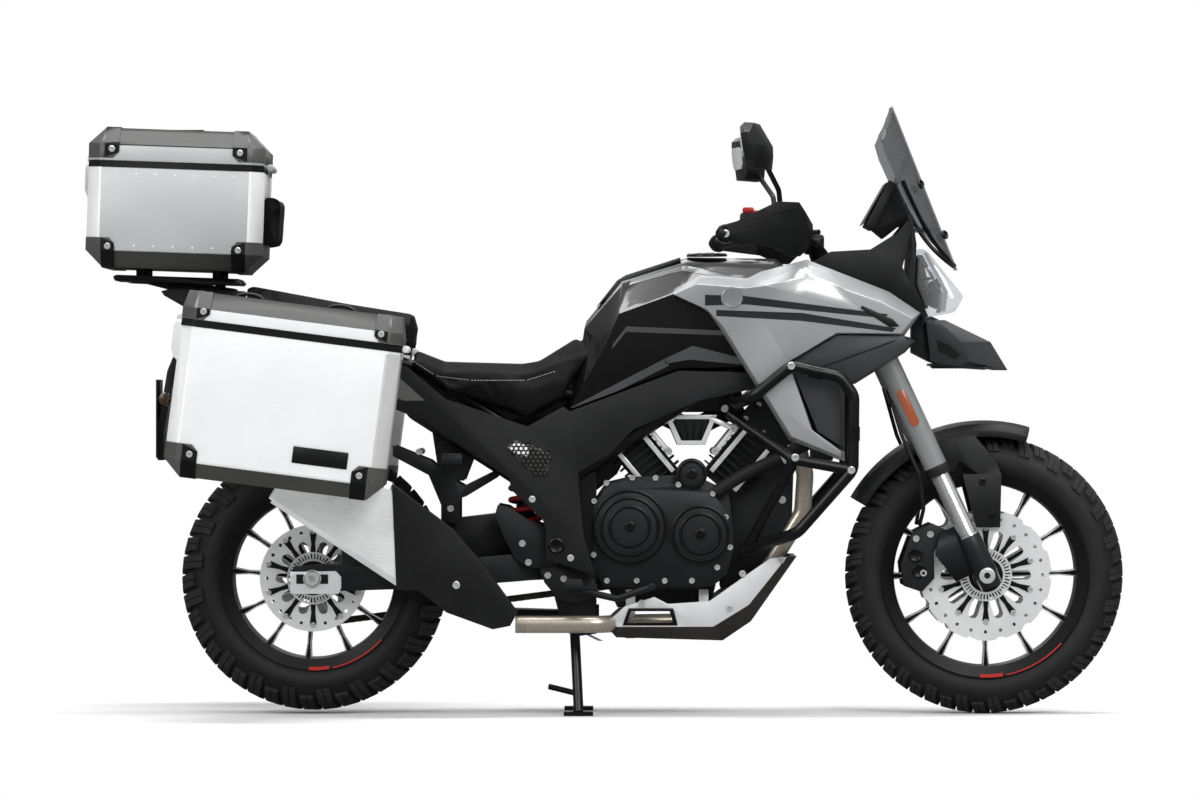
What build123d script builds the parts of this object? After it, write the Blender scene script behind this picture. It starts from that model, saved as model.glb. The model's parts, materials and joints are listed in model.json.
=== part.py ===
from build123d import *
from math import cos, hypot, pi, radians, sin, sqrt
import os

os.makedirs("parts", exist_ok=True)

# Adventure motorcycle with three aluminium cases, standing on its centre stand.
# Millimetres. +X is forward, +Y is the rider's left, +Z is up, the floor is Z = 0.

# ---------------------------------------------------------------- driving sizes
WHEELBASE = 1565
FRONT_AXLE_X = 898
REAR_AXLE_X = FRONT_AXLE_X - WHEELBASE
FRONT_TYRE_R = 325
REAR_TYRE_R = 310
STAND_LIFT = 8
FRONT_TYRE_HALF = 57.5
REAR_TYRE_HALF = 80
RAKE = 25
FORK_OFFSET = 40
LEG_Y = 108
GAP = 0.3
DISC_THICK = 5
AXLE_R = 12
AXLE_BORE_R = 7
PIVOT = (-60, 345)
STAND_PIVOT = (-60, 205)
STAND_PIN_R = 8
SIDE_STAND_PIVOT = (-30, 170, 225)
PLATE_IN = 105
PLATE_OUT = 125
CHAIN_Y = 95
SHEET = 2.5
SHELL = 4

FRONT_AXLE = (FRONT_AXLE_X, 0, FRONT_TYRE_R)
REAR_AXLE = (REAR_AXLE_X, 0, REAR_TYRE_R + STAND_LIFT)

# Wheel planes: local x forward, local y up, local z out of the right side.
FRONT_HUB = Plane(origin=FRONT_AXLE, x_dir=(1, 0, 0), z_dir=(0, -1, 0))
REAR_HUB = Plane(origin=REAR_AXLE, x_dir=(1, 0, 0), z_dir=(0, -1, 0))

# Steering plane: local z up the steering axis, local x forward across it.
RAKE_SIN = sin(radians(RAKE))
RAKE_COS = cos(radians(RAKE))
STEER_FOOT = (
    FRONT_AXLE_X - FORK_OFFSET * RAKE_COS,
    0,
    FRONT_TYRE_R - FORK_OFFSET * RAKE_SIN,
)
STEER = Plane(
    origin=STEER_FOOT, x_dir=(RAKE_COS, 0, RAKE_SIN), z_dir=(-RAKE_SIN, 0, RAKE_COS)
)


# ---------------------------------------------------------------- helpers
def profile(points, y):
    """Closed side outline of (x, z) points on the upright plane at this y."""
    with BuildSketch(Plane.XZ.offset(-y)) as sketch:
        with BuildLine():
            Polyline(*points, close=True)
        make_face()
    return sketch.sketch


def rounded_profile(points, y, corner):
    """Closed side outline with every corner rounded."""
    with BuildSketch(Plane.XZ.offset(-y)) as sketch:
        with BuildLine():
            FilletPolyline(*points, radius=corner, close=True)
        make_face()
    return sketch.sketch


def slab(points, y_from, y_to):
    """Side outline thickened between two y values."""
    face = profile(points, y_from)
    with BuildPart() as plate:
        extrude(face, amount=y_from - y_to)
    return plate.part


def rounded_slab(points, y_from, y_to, corner):
    """Side outline with rounded corners, thickened between two y values."""
    face = rounded_profile(points, y_from, corner)
    with BuildPart() as plate:
        extrude(face, amount=y_from - y_to)
    return plate.part


def ruled(rows):
    """Body ruled through side outlines, one (y, points) row for each."""
    faces = [profile(points, y) for y, points in rows]
    with BuildPart() as body:
        loft(sections=faces, ruled=True)
    return body.part


def plan_block(points, z_from, z_to):
    """Plan outline of (x, y) points raised between two heights."""
    with BuildPart() as block:
        with BuildSketch(Plane.XY.offset(z_from)):
            with BuildLine():
                Polyline(*points, close=True)
            make_face()
        extrude(amount=z_to - z_from)
    return block.part


def front_block(points, x_from, x_to):
    """Front outline of (y, z) points run between two x values."""
    with BuildPart() as block:
        with BuildSketch(Plane.YZ.offset(x_from)):
            with BuildLine():
                Polyline(*points, close=True)
            make_face()
        extrude(amount=x_to - x_from)
    return block.part


def rod(start, end, diameter):
    """Straight round bar between two points."""
    run = Vector(*end) - Vector(*start)
    with BuildPart() as bar:
        with BuildSketch(Plane(origin=start, z_dir=run)):
            Circle(diameter / 2)
        extrude(amount=run.length)
    return bar.part


def tube(points, diameter, bend):
    """Round bar along straight runs joined by tangent bends."""
    with BuildPart() as bar:
        with BuildLine() as path:
            FilletPolyline(*points, radius=bend)
        with BuildSketch(Plane(origin=path.line @ 0, z_dir=path.line % 0)):
            Circle(diameter / 2)
        sweep()
    return bar.part


def turned(centre, rows):
    """Ring turned about a Y axis through the centre, from (y, radius) rows."""
    with BuildPart() as ring:
        with BuildSketch(Plane(origin=centre, x_dir=(0, 1, 0), z_dir=(1, 0, 0))):
            with BuildLine():
                Polyline(*rows, close=True)
            make_face()
        revolve(axis=Axis(centre, (0, 1, 0)))
    return ring.part


def cross_pin(x, z, y_from, y_to, radius):
    """Round bar along Y."""
    return rod((x, y_from, z), (x, y_to, z), 2 * radius)


def side_of(points):
    """The same outline on the other side of the bike's middle plane."""
    return [(x, -y, z) for x, y, z in points]


# ---------------------------------------------------------------- tyres
TYRE_WALL = 11
BEAD_H = 15
TREAD_DEPTH = 7
GROOVE_W = 6
SHOULDER_DROP = 0.44
CROWN_SHARE = 0.4


def faceted_ring(rows, sides):
    """Body about local Z ruled through regular polygons, one (height, flat radius) row for each."""
    with BuildPart() as body:
        for height, flat in rows:
            corner = flat / cos(pi / sides)
            with BuildSketch(Plane.XY.offset(height)):
                with BuildLine():
                    Polyline(
                        *[(corner * cos(2 * pi * i / sides), corner * sin(2 * pi * i / sides))
                          for i in range(sides)],
                        close=True,
                    )
                make_face()
        loft(ruled=True)
    return body.part


def groove(outline):
    """Cross groove of the tread, cut from a (radius, height) outline."""
    with BuildPart() as cutter:
        with BuildSketch(Plane.XZ):
            with BuildLine():
                Polyline(*outline, close=True)
            make_face()
        extrude(amount=GROOVE_W / 2, both=True)
    return cutter.part


def tyre(radius, half, seat, bead_half, blocks):
    """Hollow tyre about local Z with one flat for each tread block and grooves between them."""
    shoulder = radius - SHOULDER_DROP * half
    crown = CROWN_SHARE * half
    bead_top = seat + BEAD_H
    outside = [
        (-bead_half, bead_top), (-half, shoulder - 26), (7 - half, shoulder), (-crown, radius),
        (crown, radius), (half - 7, shoulder), (half, shoulder - 26), (bead_half, bead_top),
    ]
    roof = radius - TREAD_DEPTH - TYRE_WALL
    inside = [
        (TYRE_WALL - bead_half, bead_top), (TYRE_WALL - half, shoulder - 28), (-crown, roof),
        (crown, roof), (half - TYRE_WALL, shoulder - 28), (bead_half - TYRE_WALL, bead_top),
    ]
    floor = radius - TREAD_DEPTH
    low = shoulder - 2 * TREAD_DEPTH
    above = radius + 2
    across = groove([
        (above, -half - 1), (above, half + 1), (low, half + 1), (floor, crown - 2),
        (floor, 2 - crown), (low, -half - 1),
    ])
    middle = groove([(above, -half), (above, half), (floor, half), (floor, -half)])
    with BuildPart() as body:
        add(faceted_ring(outside, blocks))
        add(faceted_ring(inside, blocks // 2), mode=Mode.SUBTRACT)
        add(faceted_ring([(-bead_half, seat), (bead_half, seat)], blocks // 2), mode=Mode.SUBTRACT)
        with PolarLocations(0, blocks // 2):
            add(across, mode=Mode.SUBTRACT)
        with PolarLocations(0, blocks // 2, start_angle=360 / blocks):
            add(middle, mode=Mode.SUBTRACT)
    return body.part


FRONT_SEAT_R = 233
REAR_SEAT_R = 208
FRONT_BEAD_HALF = 43
REAR_BEAD_HALF = 62
FRONT_BLOCKS = 50
REAR_BLOCKS = 42

with BuildPart() as front_tyre:
    with Locations(FRONT_HUB):
        add(tyre(FRONT_TYRE_R, FRONT_TYRE_HALF, FRONT_SEAT_R, FRONT_BEAD_HALF, FRONT_BLOCKS))

with BuildPart() as rear_tyre:
    with Locations(REAR_HUB):
        add(tyre(REAR_TYRE_R, REAR_TYRE_HALF, REAR_SEAT_R, REAR_BEAD_HALF, REAR_BLOCKS))


# ---------------------------------------------------------------- rims
SPOKES = 12
FRONT_SPOKE_ANGLE = -89
REAR_SPOKE_ANGLE = -94.5


def spoke(root, reach):
    """Spoke along local X, waisted towards the barrel."""
    with BuildPart() as arm:
        for x, width, depth in ((root, 15, 46), (reach * 0.82, 9, 26), (reach + 1.5, 17, 30)):
            with BuildSketch(Plane.YZ.offset(x)):
                Rectangle(width, depth)
        loft(ruled=True)
    return arm.part


def cast_wheel(seat, bead_half, hub_r, hub_half, first_angle):
    """Twelve-spoke wheel about local Z: barrel, hub and thin spokes."""
    flange_out = bead_half + 6
    flange_in = bead_half + 1
    well = seat - 11
    inner = seat - 19
    arm = spoke(hub_r - 4, inner - 1)
    with BuildPart() as wheel:
        with BuildSketch(Plane.XZ):
            with BuildLine():
                Polyline(
                    (seat + 13, -flange_out),
                    (seat + 13, -flange_in),
                    (seat - GAP, -flange_in),
                    (seat - GAP, -bead_half * 0.55),
                    (well, -bead_half * 0.4),
                    (well, bead_half * 0.4),
                    (seat - GAP, bead_half * 0.55),
                    (seat - GAP, flange_in),
                    (seat + 13, flange_in),
                    (seat + 13, flange_out),
                    (seat + 6, flange_out),
                    (inner, flange_out - 6),
                    (inner - 3, bead_half * 0.35),
                    (inner - 3, -bead_half * 0.35),
                    (inner, -flange_out + 6),
                    (seat + 6, -flange_out),
                    close=True,
                )
            make_face()
        revolve(axis=Axis.Z)
        with BuildSketch(Plane.XY.offset(-hub_half)):
            Circle(hub_r)
        extrude(amount=2 * hub_half)
        with PolarLocations(0, SPOKES, start_angle=first_angle):
            add(arm)
        with BuildSketch(Plane.XY.offset(-hub_half)):
            Circle(AXLE_R + GAP)
        extrude(amount=2 * hub_half, mode=Mode.SUBTRACT)
    return wheel.part


FRONT_HUB_HALF = 71
REAR_HUB_HALF = 86

with BuildPart() as front_rim:
    with Locations(FRONT_HUB):
        add(cast_wheel(FRONT_SEAT_R, FRONT_BEAD_HALF, 36, FRONT_HUB_HALF, FRONT_SPOKE_ANGLE))

with BuildPart() as rear_rim:
    with Locations(REAR_HUB):
        add(cast_wheel(REAR_SEAT_R, REAR_BEAD_HALF, 44, REAR_HUB_HALF, REAR_SPOKE_ANGLE))


# ---------------------------------------------------------------- brake discs
FRONT_DISC_R = 153
REAR_DISC_R = 124
FRONT_DISC_Y = FRONT_HUB_HALF + GAP + DISC_THICK / 2
REAR_DISC_Y = REAR_HUB_HALF + GAP + DISC_THICK / 2
SPROCKET_R = 102
SPROCKET_HALF = 4


def brake_disc(outer, band_inner, carrier_inner, petals):
    """Disc about local Z, middle on local Z = 0: braking band, carrier arms, bolt ring."""
    with BuildPart() as disc:
        with BuildSketch(Plane.XY.offset(-DISC_THICK / 2)):
            Circle(outer)
            if petals:
                with PolarLocations(outer + 9, petals):
                    Circle(15, mode=Mode.SUBTRACT)
            window = (band_inner + carrier_inner + 14) / 2
            with PolarLocations(window, 10):
                SlotOverall(
                    (band_inner - carrier_inner - 14) * 0.8, 22, mode=Mode.SUBTRACT
                )
            Circle(carrier_inner, mode=Mode.SUBTRACT)
            with PolarLocations((outer + band_inner) / 2, 24):
                Circle(4, mode=Mode.SUBTRACT)
        extrude(amount=DISC_THICK)
    return disc.part


def sprocket(teeth, windows):
    """Chain wheel about local Z, middle on local Z = 0."""
    with BuildPart() as wheel:
        with BuildSketch(Plane.XY.offset(-SPROCKET_HALF)):
            Circle(SPROCKET_R)
            with PolarLocations(SPROCKET_R + 3, teeth):
                Circle(5, mode=Mode.SUBTRACT)
            with PolarLocations(64, windows):
                Circle(18, mode=Mode.SUBTRACT)
            Circle(30, mode=Mode.SUBTRACT)
        extrude(amount=2 * SPROCKET_HALF)
    return wheel.part


with BuildPart() as front_discs:
    for side in (-1, 1):
        with Locations(FRONT_HUB.offset(side * FRONT_DISC_Y)):
            add(brake_disc(FRONT_DISC_R, 112, 30, 14))

with BuildPart() as rear_disc_sprocket:
    with Locations(REAR_HUB.offset(REAR_DISC_Y)):
        add(brake_disc(REAR_DISC_R, 92, 30, 0))
    with Locations(REAR_HUB.offset(-CHAIN_Y)):
        add(sprocket(42, 6))
    # carrier between the hub and the sprocket
    carrier_end = CHAIN_Y - SPROCKET_HALF
    add(turned(REAR_AXLE, [(REAR_HUB_HALF + GAP, 31), (carrier_end, 31),
                           (carrier_end, 46), (REAR_HUB_HALF + GAP, 46)]))

# ---------------------------------------------------------------- fork, in the steering plane
LOWER_CLAMP = (565, 600)
UPPER_CLAMP = (768, 793)
HEAD_TUBE = (605, 763)
OUTER_TUBE = (266, 800)
FOOT_TOP = 97
OUTER_R = 27.5
STANCHION_R = 22
STEM_R = 15
HEAD_R = 30

with BuildPart() as fork_upper:
    for side in (-1, 1):
        with BuildSketch(STEER.offset(OUTER_TUBE[0])):
            with Locations((FORK_OFFSET, side * LEG_Y)):
                Circle(OUTER_R)
        extrude(amount=OUTER_TUBE[1] - OUTER_TUBE[0])
    for low, high in (LOWER_CLAMP, UPPER_CLAMP):
        with BuildSketch(STEER.offset(low)):
            with Locations((FORK_OFFSET / 2 + 4, 0)):
                Rectangle(FORK_OFFSET + 34, 2 * LEG_Y)
            with Locations((FORK_OFFSET, -LEG_Y), (FORK_OFFSET, LEG_Y)):
                Circle(OUTER_R + 8)
            with Locations((0, 0)):
                Circle(HEAD_R)
            with Locations((FORK_OFFSET + 10, -52), (FORK_OFFSET + 10, 52)):
                SlotOverall(60, 26, mode=Mode.SUBTRACT)
        extrude(amount=high - low)
    with BuildSketch(STEER.offset(LOWER_CLAMP[0])):
        Circle(STEM_R)
    extrude(amount=UPPER_CLAMP[1] - LOWER_CLAMP[0])

with BuildPart() as fork_legs:
    for side in (-1, 1):
        with BuildSketch(STEER.offset(FOOT_TOP)):
            with Locations((FORK_OFFSET, side * LEG_Y)):
                Circle(STANCHION_R)
        extrude(amount=OUTER_TUBE[0] - FOOT_TOP)
        with BuildSketch(STEER.offset(-30)):
            with Locations((FORK_OFFSET, side * LEG_Y)):
                RectangleRounded(52, 34, 8)
        extrude(amount=70)
        with BuildSketch(STEER.offset(35)):
            with Locations((FORK_OFFSET, side * LEG_Y)):
                Circle(26)
        extrude(amount=FOOT_TOP + 8 - 35)
        # caliper lug behind each leg
        add(
            slab(
                [(868, 330), (828, 310), (780, 372), (790, 424), (842, 446), (868, 400)],
                side * 97,
                side * 109,
            )
        )
    add(cross_pin(FRONT_AXLE_X, FRONT_TYRE_R, -128, 128, AXLE_R))
    add(cross_pin(FRONT_AXLE_X, FRONT_TYRE_R, -136, -124, 19))
    add(cross_pin(FRONT_AXLE_X, FRONT_TYRE_R, 124, 136, 19))
    add(
        cross_pin(FRONT_AXLE_X, FRONT_TYRE_R, -137, 137, AXLE_BORE_R),
        mode=Mode.SUBTRACT,
    )

# ---------------------------------------------------------------- front calipers
CALIPER = [(706, 300), (700, 352), (726, 424), (772, 446), (806, 430), (776, 380), (778, 318), (748, 286)]

with BuildPart() as front_calipers:
    for side in (-1, 1):
        add(slab(CALIPER, side * 54, side * 96.7))
        add(
            turned(
                FRONT_AXLE,
                [
                    (side * (FRONT_DISC_Y - 8), 20),
                    (side * (FRONT_DISC_Y + 8), 20),
                    (side * (FRONT_DISC_Y + 8), FRONT_DISC_R + 6),
                    (side * (FRONT_DISC_Y - 8), FRONT_DISC_R + 6),
                ],
            ),
            mode=Mode.SUBTRACT,
        )

# ---------------------------------------------------------------- front fender
FENDER_IN = FRONT_TYRE_R + 19
FENDER_FROM = 73
FENDER_TO = 150

with BuildPart() as front_fender:
    with BuildSketch(Plane(origin=FRONT_AXLE, x_dir=(0, 1, 0), z_dir=(1, 0, 0))):
        with BuildLine():
            Polyline(
                (-72, 322),
                (-72, 336),
                (-58, 352),
                (-22, 360),
                (22, 360),
                (58, 352),
                (72, 336),
                (72, 322),
                (69, 322),
                (69, 335),
                (56, 349),
                (21, 356.5),
                (-21, 356.5),
                (-56, 349),
                (-69, 335),
                (-69, 322),
                close=True,
            )
        make_face()
    revolve(axis=Axis(FRONT_AXLE, (0, 1, 0)), revolution_arc=360)
    # only the arc over the tyre stays: wedge from the nose to the rear tip
    with BuildSketch(FRONT_HUB.offset(-90)) as wedge:
        with BuildLine():
            Polyline(
                (0, 0),
                (430 * cos(radians(FENDER_FROM)), 430 * sin(radians(FENDER_FROM))),
                (-100, 440),
                (-330, 330),
                (430 * cos(radians(FENDER_TO)), 430 * sin(radians(FENDER_TO))),
                close=True,
            )
        make_face()
    extrude(amount=180, mode=Mode.INTERSECT)
    for side in (-1, 1):
        add(
            slab(
                [(826, 640), (872, 650), (922, 590), (934, 560), (929, 438), (902, 438),
                 (880, 560), (838, 590), (806, 540), (782, 572), (770, 640)],
                side * 71,
                side * 75,
            )
        )
    # ears out to the fork feet, in front of and behind each leg
    for side in (-1, 1):
        add(
            slab([(846, 436), (931, 436), (934, 560), (790, 560)], side * 71, side * 90),
        )
    add(
        turned(
            FRONT_AXLE,
            [(-84, 20), (84, 20), (84, FRONT_DISC_R + 6), (-84, FRONT_DISC_R + 6)],
        ),
        mode=Mode.SUBTRACT,
    )
    add(fork_legs.part, mode=Mode.SUBTRACT)

# ---------------------------------------------------------------- handlebar and controls
BAR_D = 28
BAR_END = (285, -445, 1110)
BAR_KNEE = (410, -205, 1134)
BAR_MID = (500, -100, 1096)

with BuildPart() as handlebar:
    add(
        tube(
            [BAR_END, BAR_KNEE, BAR_MID, *reversed(side_of([BAR_END, BAR_KNEE, BAR_MID]))],
            BAR_D - 6,
            38,
        )
    )
    for side in (-1, 1):
        add(rod((528, side * 52, 1010), (500, side * 52, 1098), 34))
        add(
            rounded_slab(
                [(478, 1074), (478, 1118), (522, 1118), (522, 1074)],
                side * 34,
                side * 70,
                8,
            )
        )
    add(fork_upper.part, mode=Mode.SUBTRACT)

GRIP_IN = 0.42
GRIP_OUT = 0.04
grip_run = Vector(*BAR_KNEE) - Vector(*BAR_END)
grip_start = Vector(*BAR_END) + grip_run * GRIP_OUT
grip_stop = Vector(*BAR_END) + grip_run * GRIP_IN
switch_stop = Vector(*BAR_END) + grip_run * 0.60

GUARD_SIDE = [
    (270, 1127), (310, 1138), (403, 1183), (453, 1182), (486, 1133),
    (487, 1109), (474, 1077), (455, 1059), (431, 1059), (385, 1081), (278, 1094),
]
GUARD_PLAN = [
    (268, -456), (268, -461), (380, -472), (468, -420), (506, -300), (510, -205),
    (505, -205), (501, -300), (463, -417), (378, -467),
]

with BuildPart() as hand_guards:
    add(plan_block(GUARD_PLAN, 1040, 1200))
    add(slab(GUARD_SIDE, -190, -480), mode=Mode.INTERSECT)
    add(rod((505, -215, 1120), (452, -160, 1118), 12))
    add(rod(BAR_END, (272, -466, 1110), 24))
    add(rod(tuple(grip_start), tuple(grip_stop), 34))
    add(rod(tuple(grip_stop), tuple(switch_stop), 42))
    add(
        tube(
            [(392, -248, 1128), (425, -262, 1124), (398, -420, 1108)],
            12,
            12,
        )
    )
    mirror(about=Plane.XZ)
    add(handlebar.part, mode=Mode.SUBTRACT)

MIRROR_STEM = [(418, -222, 1150), (412, -236, 1215), (384, -330, 1262), (372, -392, 1290)]
MIRROR_MID = [
    (325, 1353), (335, 1363), (357, 1362), (387, 1311), (388, 1288), (385, 1257), (337, 1261),
]
MIRROR_EDGE = [
    (330, 1335), (338, 1340), (350, 1340), (364, 1311), (366, 1296), (362, 1275), (341, 1278),
]

MIRROR_ROWS = (
    # y, outline, moved forward by
    (-318, MIRROR_EDGE, 12),
    (-360, MIRROR_MID, 8),
    (-452, MIRROR_MID, -8),
    (-490, MIRROR_EDGE, -12),
)

with BuildPart() as mirrors:
    add(ruled([(y, [(x + ahead, z) for x, z in outline]) for y, outline, ahead in MIRROR_ROWS]))
    add(tube(MIRROR_STEM, 12, 18))
    add(rod((416, -214, 1140), (418, -222, 1162), 24))
    mirror(about=Plane.XZ)
    add(hand_guards.part, mode=Mode.SUBTRACT)
    add(handlebar.part, mode=Mode.SUBTRACT)

# ---------------------------------------------------------------- brake hoses on the fork
HOSE_D = 9
HOSE = [(668, -100, 760), (700, -128, 650), (740, -132, 560), (752, -112, 480), (744, -78, 442)]

with BuildPart() as brake_hoses:
    add(tube(HOSE, HOSE_D, 30))
    mirror(about=Plane.XZ)
    add(front_calipers.part, mode=Mode.SUBTRACT)
    add(fork_upper.part, mode=Mode.SUBTRACT)
    add(fork_legs.part, mode=Mode.SUBTRACT)

# ---------------------------------------------------------------- main frame
SIDE_AXIS_LEAN = 21.7


def on_side_axis(distance):
    """Point on the side stand's leaning pivot axis, outwards from its middle."""
    lean = radians(SIDE_AXIS_LEAN)
    x, y, z = SIDE_STAND_PIVOT
    return (x, y + distance * cos(lean), z + distance * sin(lean))


FRAME_TUBE = 40
RAIL_D = 28

with BuildPart() as main_frame:
    with BuildSketch(STEER.offset(HEAD_TUBE[0])):
        Circle(HEAD_R)
    extrude(amount=HEAD_TUBE[1] - HEAD_TUBE[0])
    for side in (-1, 1):
        add(tube([(540, side * 14, 925), (430, side * 60, 890), (300, side * 128, 800),
                  (60, side * 132, 640), (-60, side * 116, 560)], FRAME_TUBE, 60))
        add(tube([(590, side * 12, 868), (470, side * 60, 800), (300, side * 128, 800)], 30, 40))
        add(slab([(-112, 300), (-112, 600), (-40, 620), (-8, 560), (-8, 190), (-60, 183), (-86, 200)],
                 side * PLATE_IN, side * PLATE_OUT))
        add(tube([(60, side * 118, 690), (-60, side * 112, 745), (-400, side * 100, 800),
                  (-900, side * 92, 948)], RAIL_D, 80))
        add(rod((-80, side * 115, 590), (-420, side * 101, 806), RAIL_D - 4))
        add(tube([(-100, side * 116, 485), (-440, side * 116, 702), (-476, side * 100, 822)],
                 RAIL_D - 6, 30))
        # arm that carries the cowl, forward between the fork legs
        add(rod((572, side * 16, 930), (746, side * 16, 946), 22))
    add(cross_pin(-60, 590, -107, 107, 14))
    for x, z in ((-400, 800), (-640, 871), (-860, 936)):
        add(cross_pin(x, z, -104, 104, 11))
    add(cross_pin(*PIVOT, -130, 130, 16))
    add(cross_pin(*STAND_PIVOT, -106, 106, STAND_PIN_R))
    # side stand bracket on the left plate, with its pin along the leaning axis
    add(slab([(-58, 196), (-58, 250), (-2, 250), (-2, 196)], 124, 145))
    add(rod(on_side_axis(-40), on_side_axis(-12), 40))
    add(rod(on_side_axis(-40), on_side_axis(13), 2 * STAND_PIN_R))
    with BuildSketch(STEER.offset(HEAD_TUBE[0] - 1)):
        Circle(STEM_R + GAP)
    extrude(amount=HEAD_TUBE[1] - HEAD_TUBE[0] + 2, mode=Mode.SUBTRACT)

# ---------------------------------------------------------------- engine
CRANK = (214.5, 460)
CYLINDER_TILT = 40
CASE_HALF = 104.5
CASE = [
    (-20, 330), (-20, 489), (14, 540), (74, 554), (214, 560), (300, 520),
    (313, 394), (297, 326), (250, 292), (0, 292),
]

with BuildPart() as engine_case:
    add(slab(CASE, 80, -CASE_HALF))
    add(slab([(20, 293), (270, 303), (255, 250), (40, 250)], 80, -80))
    add(main_frame.part, mode=Mode.SUBTRACT)


def along(tilt_side, distance, across=0):
    """Point (x, z) up a cylinder's axis from the crank, and across it."""
    lean = radians(CYLINDER_TILT) * tilt_side
    return (
        CRANK[0] + distance * sin(lean) + across * cos(lean),
        CRANK[1] + distance * cos(lean) - across * sin(lean),
    )


FIN_COUNT = 7

with BuildPart() as engine_cylinders:
    for tilt_side in (-1, 1):
        outline = [along(tilt_side, d, a) for d, a in
                   ((95, -48), (95, 48), (240, 48), (240, -48))]
        add(slab(outline, 76, -76))
        for fin in range(FIN_COUNT):
            low = 118 + 17 * fin
            outline = [along(tilt_side, d, a) for d, a in
                       ((low, -60), (low, 60), (low + 4, 60), (low + 4, -60))]
            add(slab(outline, 92, -92))
        outline = [along(tilt_side, d, a) for d, a in
                   ((240, -64), (240, 64), (318, 64), (342, 46), (342, -46), (318, -64))]
        add(slab(outline, 94, -94))
        for across in (-35, 35):
            bar = [along(tilt_side, d, a) for d, a in
                   ((112, across - 5), (112, across + 5), (228, across + 5), (228, across - 5))]
            add(slab(bar, -76, -99))
            add(slab(bar, 99, 76))
    add(engine_case.part, mode=Mode.SUBTRACT)
    add(main_frame.part, mode=Mode.SUBTRACT)

COVER_RIGHT = [
    (-18, 345), (-16, 485), (20, 536), (74, 550), (181, 535), (262, 516),
    (300, 466), (309, 394), (293, 330), (262, 300), (10, 298),
]
COVER_DISCS = (
    # x, z, radius, thickness beyond the cover
    (69, 439, 87, 8),
    (69, 439, 72, 12),
    (233, 422, 70, 8),
    (213, 561, 36, 4),
)

with BuildPart() as engine_covers:
    add(slab(COVER_RIGHT, -CASE_HALF, -130))
    for x, z, radius, rise in COVER_DISCS:
        add(cross_pin(x, z, -CASE_HALF - 1, -130 - rise, radius))
    add(slab([(100, 330), (100, 500), (150, 530), (262, 516), (300, 466), (300, 350), (250, 305)],
             80, 122))
    add(cross_pin(214, 420, 96, 134, 74))
    # sprocket cover outside the chain
    add(slab([(-5, 292), (-5, 402), (60, 414), (104, 400), (104, 332), (60, 286)], 107, 120))
    # intake plenum in the fork of the cylinders
    add(slab([(150, 698), (272, 698), (244, 628), (180, 628)], 104, -104))
    add(rod((190, 0, 676), (96, 0, 722), 46))
    add(rod((238, 0, 676), (332, 0, 722), 46))
    add(engine_cylinders.part, mode=Mode.SUBTRACT)
    add(main_frame.part, mode=Mode.SUBTRACT)

# ---------------------------------------------------------------- swing arm, rear axle, rear caliper
ARM_IN = 108
ARM_OUT = 138

with BuildPart() as swing_arm:
    for side in (-1, 1):
        add(
            plan_block(
                [(-36, side * 72), (-36, side * 100), (-120, side * 100), (-200, side * ARM_OUT),
                 (-716, side * ARM_OUT), (-716, side * ARM_IN), (-214, side * ARM_IN),
                 (-150, side * 72)],
                200,
                450,
            )
        )
    add(plan_block([(-150, -80), (-210, -80), (-210, 80), (-150, 80)], 200, 450))
    add(cross_pin(*PIVOT, -100, 100, 30))
    add(
        slab(
            [(-32, 318), (-32, 372), (-160, 378), (-540, 346), (-640, 352), (-712, 346),
             (-716, 292), (-640, 288), (-400, 296), (-160, 314)],
            200,
            -200,
        ),
        mode=Mode.INTERSECT,
    )
    add(cross_pin(REAR_AXLE[0], REAR_AXLE[2], -146, 146, AXLE_R))
    add(cross_pin(REAR_AXLE[0], REAR_AXLE[2], 138, 152, 18))
    add(cross_pin(REAR_AXLE[0], REAR_AXLE[2], -152, -138, 18))
    add(cross_pin(REAR_AXLE[0], REAR_AXLE[2], -154, 154, AXLE_BORE_R), mode=Mode.SUBTRACT)
    add(main_frame.part, mode=Mode.SUBTRACT)
    add(cross_pin(*PIVOT, -140, 140, 16 + GAP), mode=Mode.SUBTRACT)
    # rear caliper on its bracket over the right beam
    add(slab([(-600, 340), (-470, 330), (-500, 420), (-560, 436), (-600, 400)], -107, -116))
    add(slab([(-520, 350), (-500, 420), (-556, 440), (-590, 400), (-560, 350)], -76, -107))
    add(
        turned(
            REAR_AXLE,
            [(-REAR_DISC_Y - 8, 20), (-REAR_DISC_Y + 8, 20),
             (-REAR_DISC_Y + 8, REAR_DISC_R + 6), (-REAR_DISC_Y - 8, REAR_DISC_R + 6)],
        ),
        mode=Mode.SUBTRACT,
    )

# ---------------------------------------------------------------- chain
CHAIN_H = 15
CHAIN_HALF = 7
FRONT_SPROCKET = (30, 0, PIVOT[1])
FRONT_SPROCKET_R = 40


def chain_outline(grow):
    """Belt line round both sprockets, as a closed face about the chain's pitch line."""
    with BuildSketch(Plane.XZ.offset(-CHAIN_Y)) as belt:
        with Locations((REAR_AXLE[0], REAR_AXLE[2])):
            Circle(SPROCKET_R + grow)
        with Locations((FRONT_SPROCKET[0], FRONT_SPROCKET[2])):
            Circle(FRONT_SPROCKET_R + grow)
        make_hull()
    return belt.sketch


with BuildPart() as chain:
    extrude(chain_outline(CHAIN_H + 2), amount=CHAIN_HALF, both=True)
    extrude(chain_outline(2), amount=CHAIN_HALF + 1, both=True, mode=Mode.SUBTRACT)
    add(cross_pin(FRONT_SPROCKET[0], FRONT_SPROCKET[2], CHAIN_Y - 4, CHAIN_Y + 4, FRONT_SPROCKET_R + 2))
    add(cross_pin(FRONT_SPROCKET[0], FRONT_SPROCKET[2], 79, CHAIN_Y, 16))
    add(engine_case.part, mode=Mode.SUBTRACT)

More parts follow.
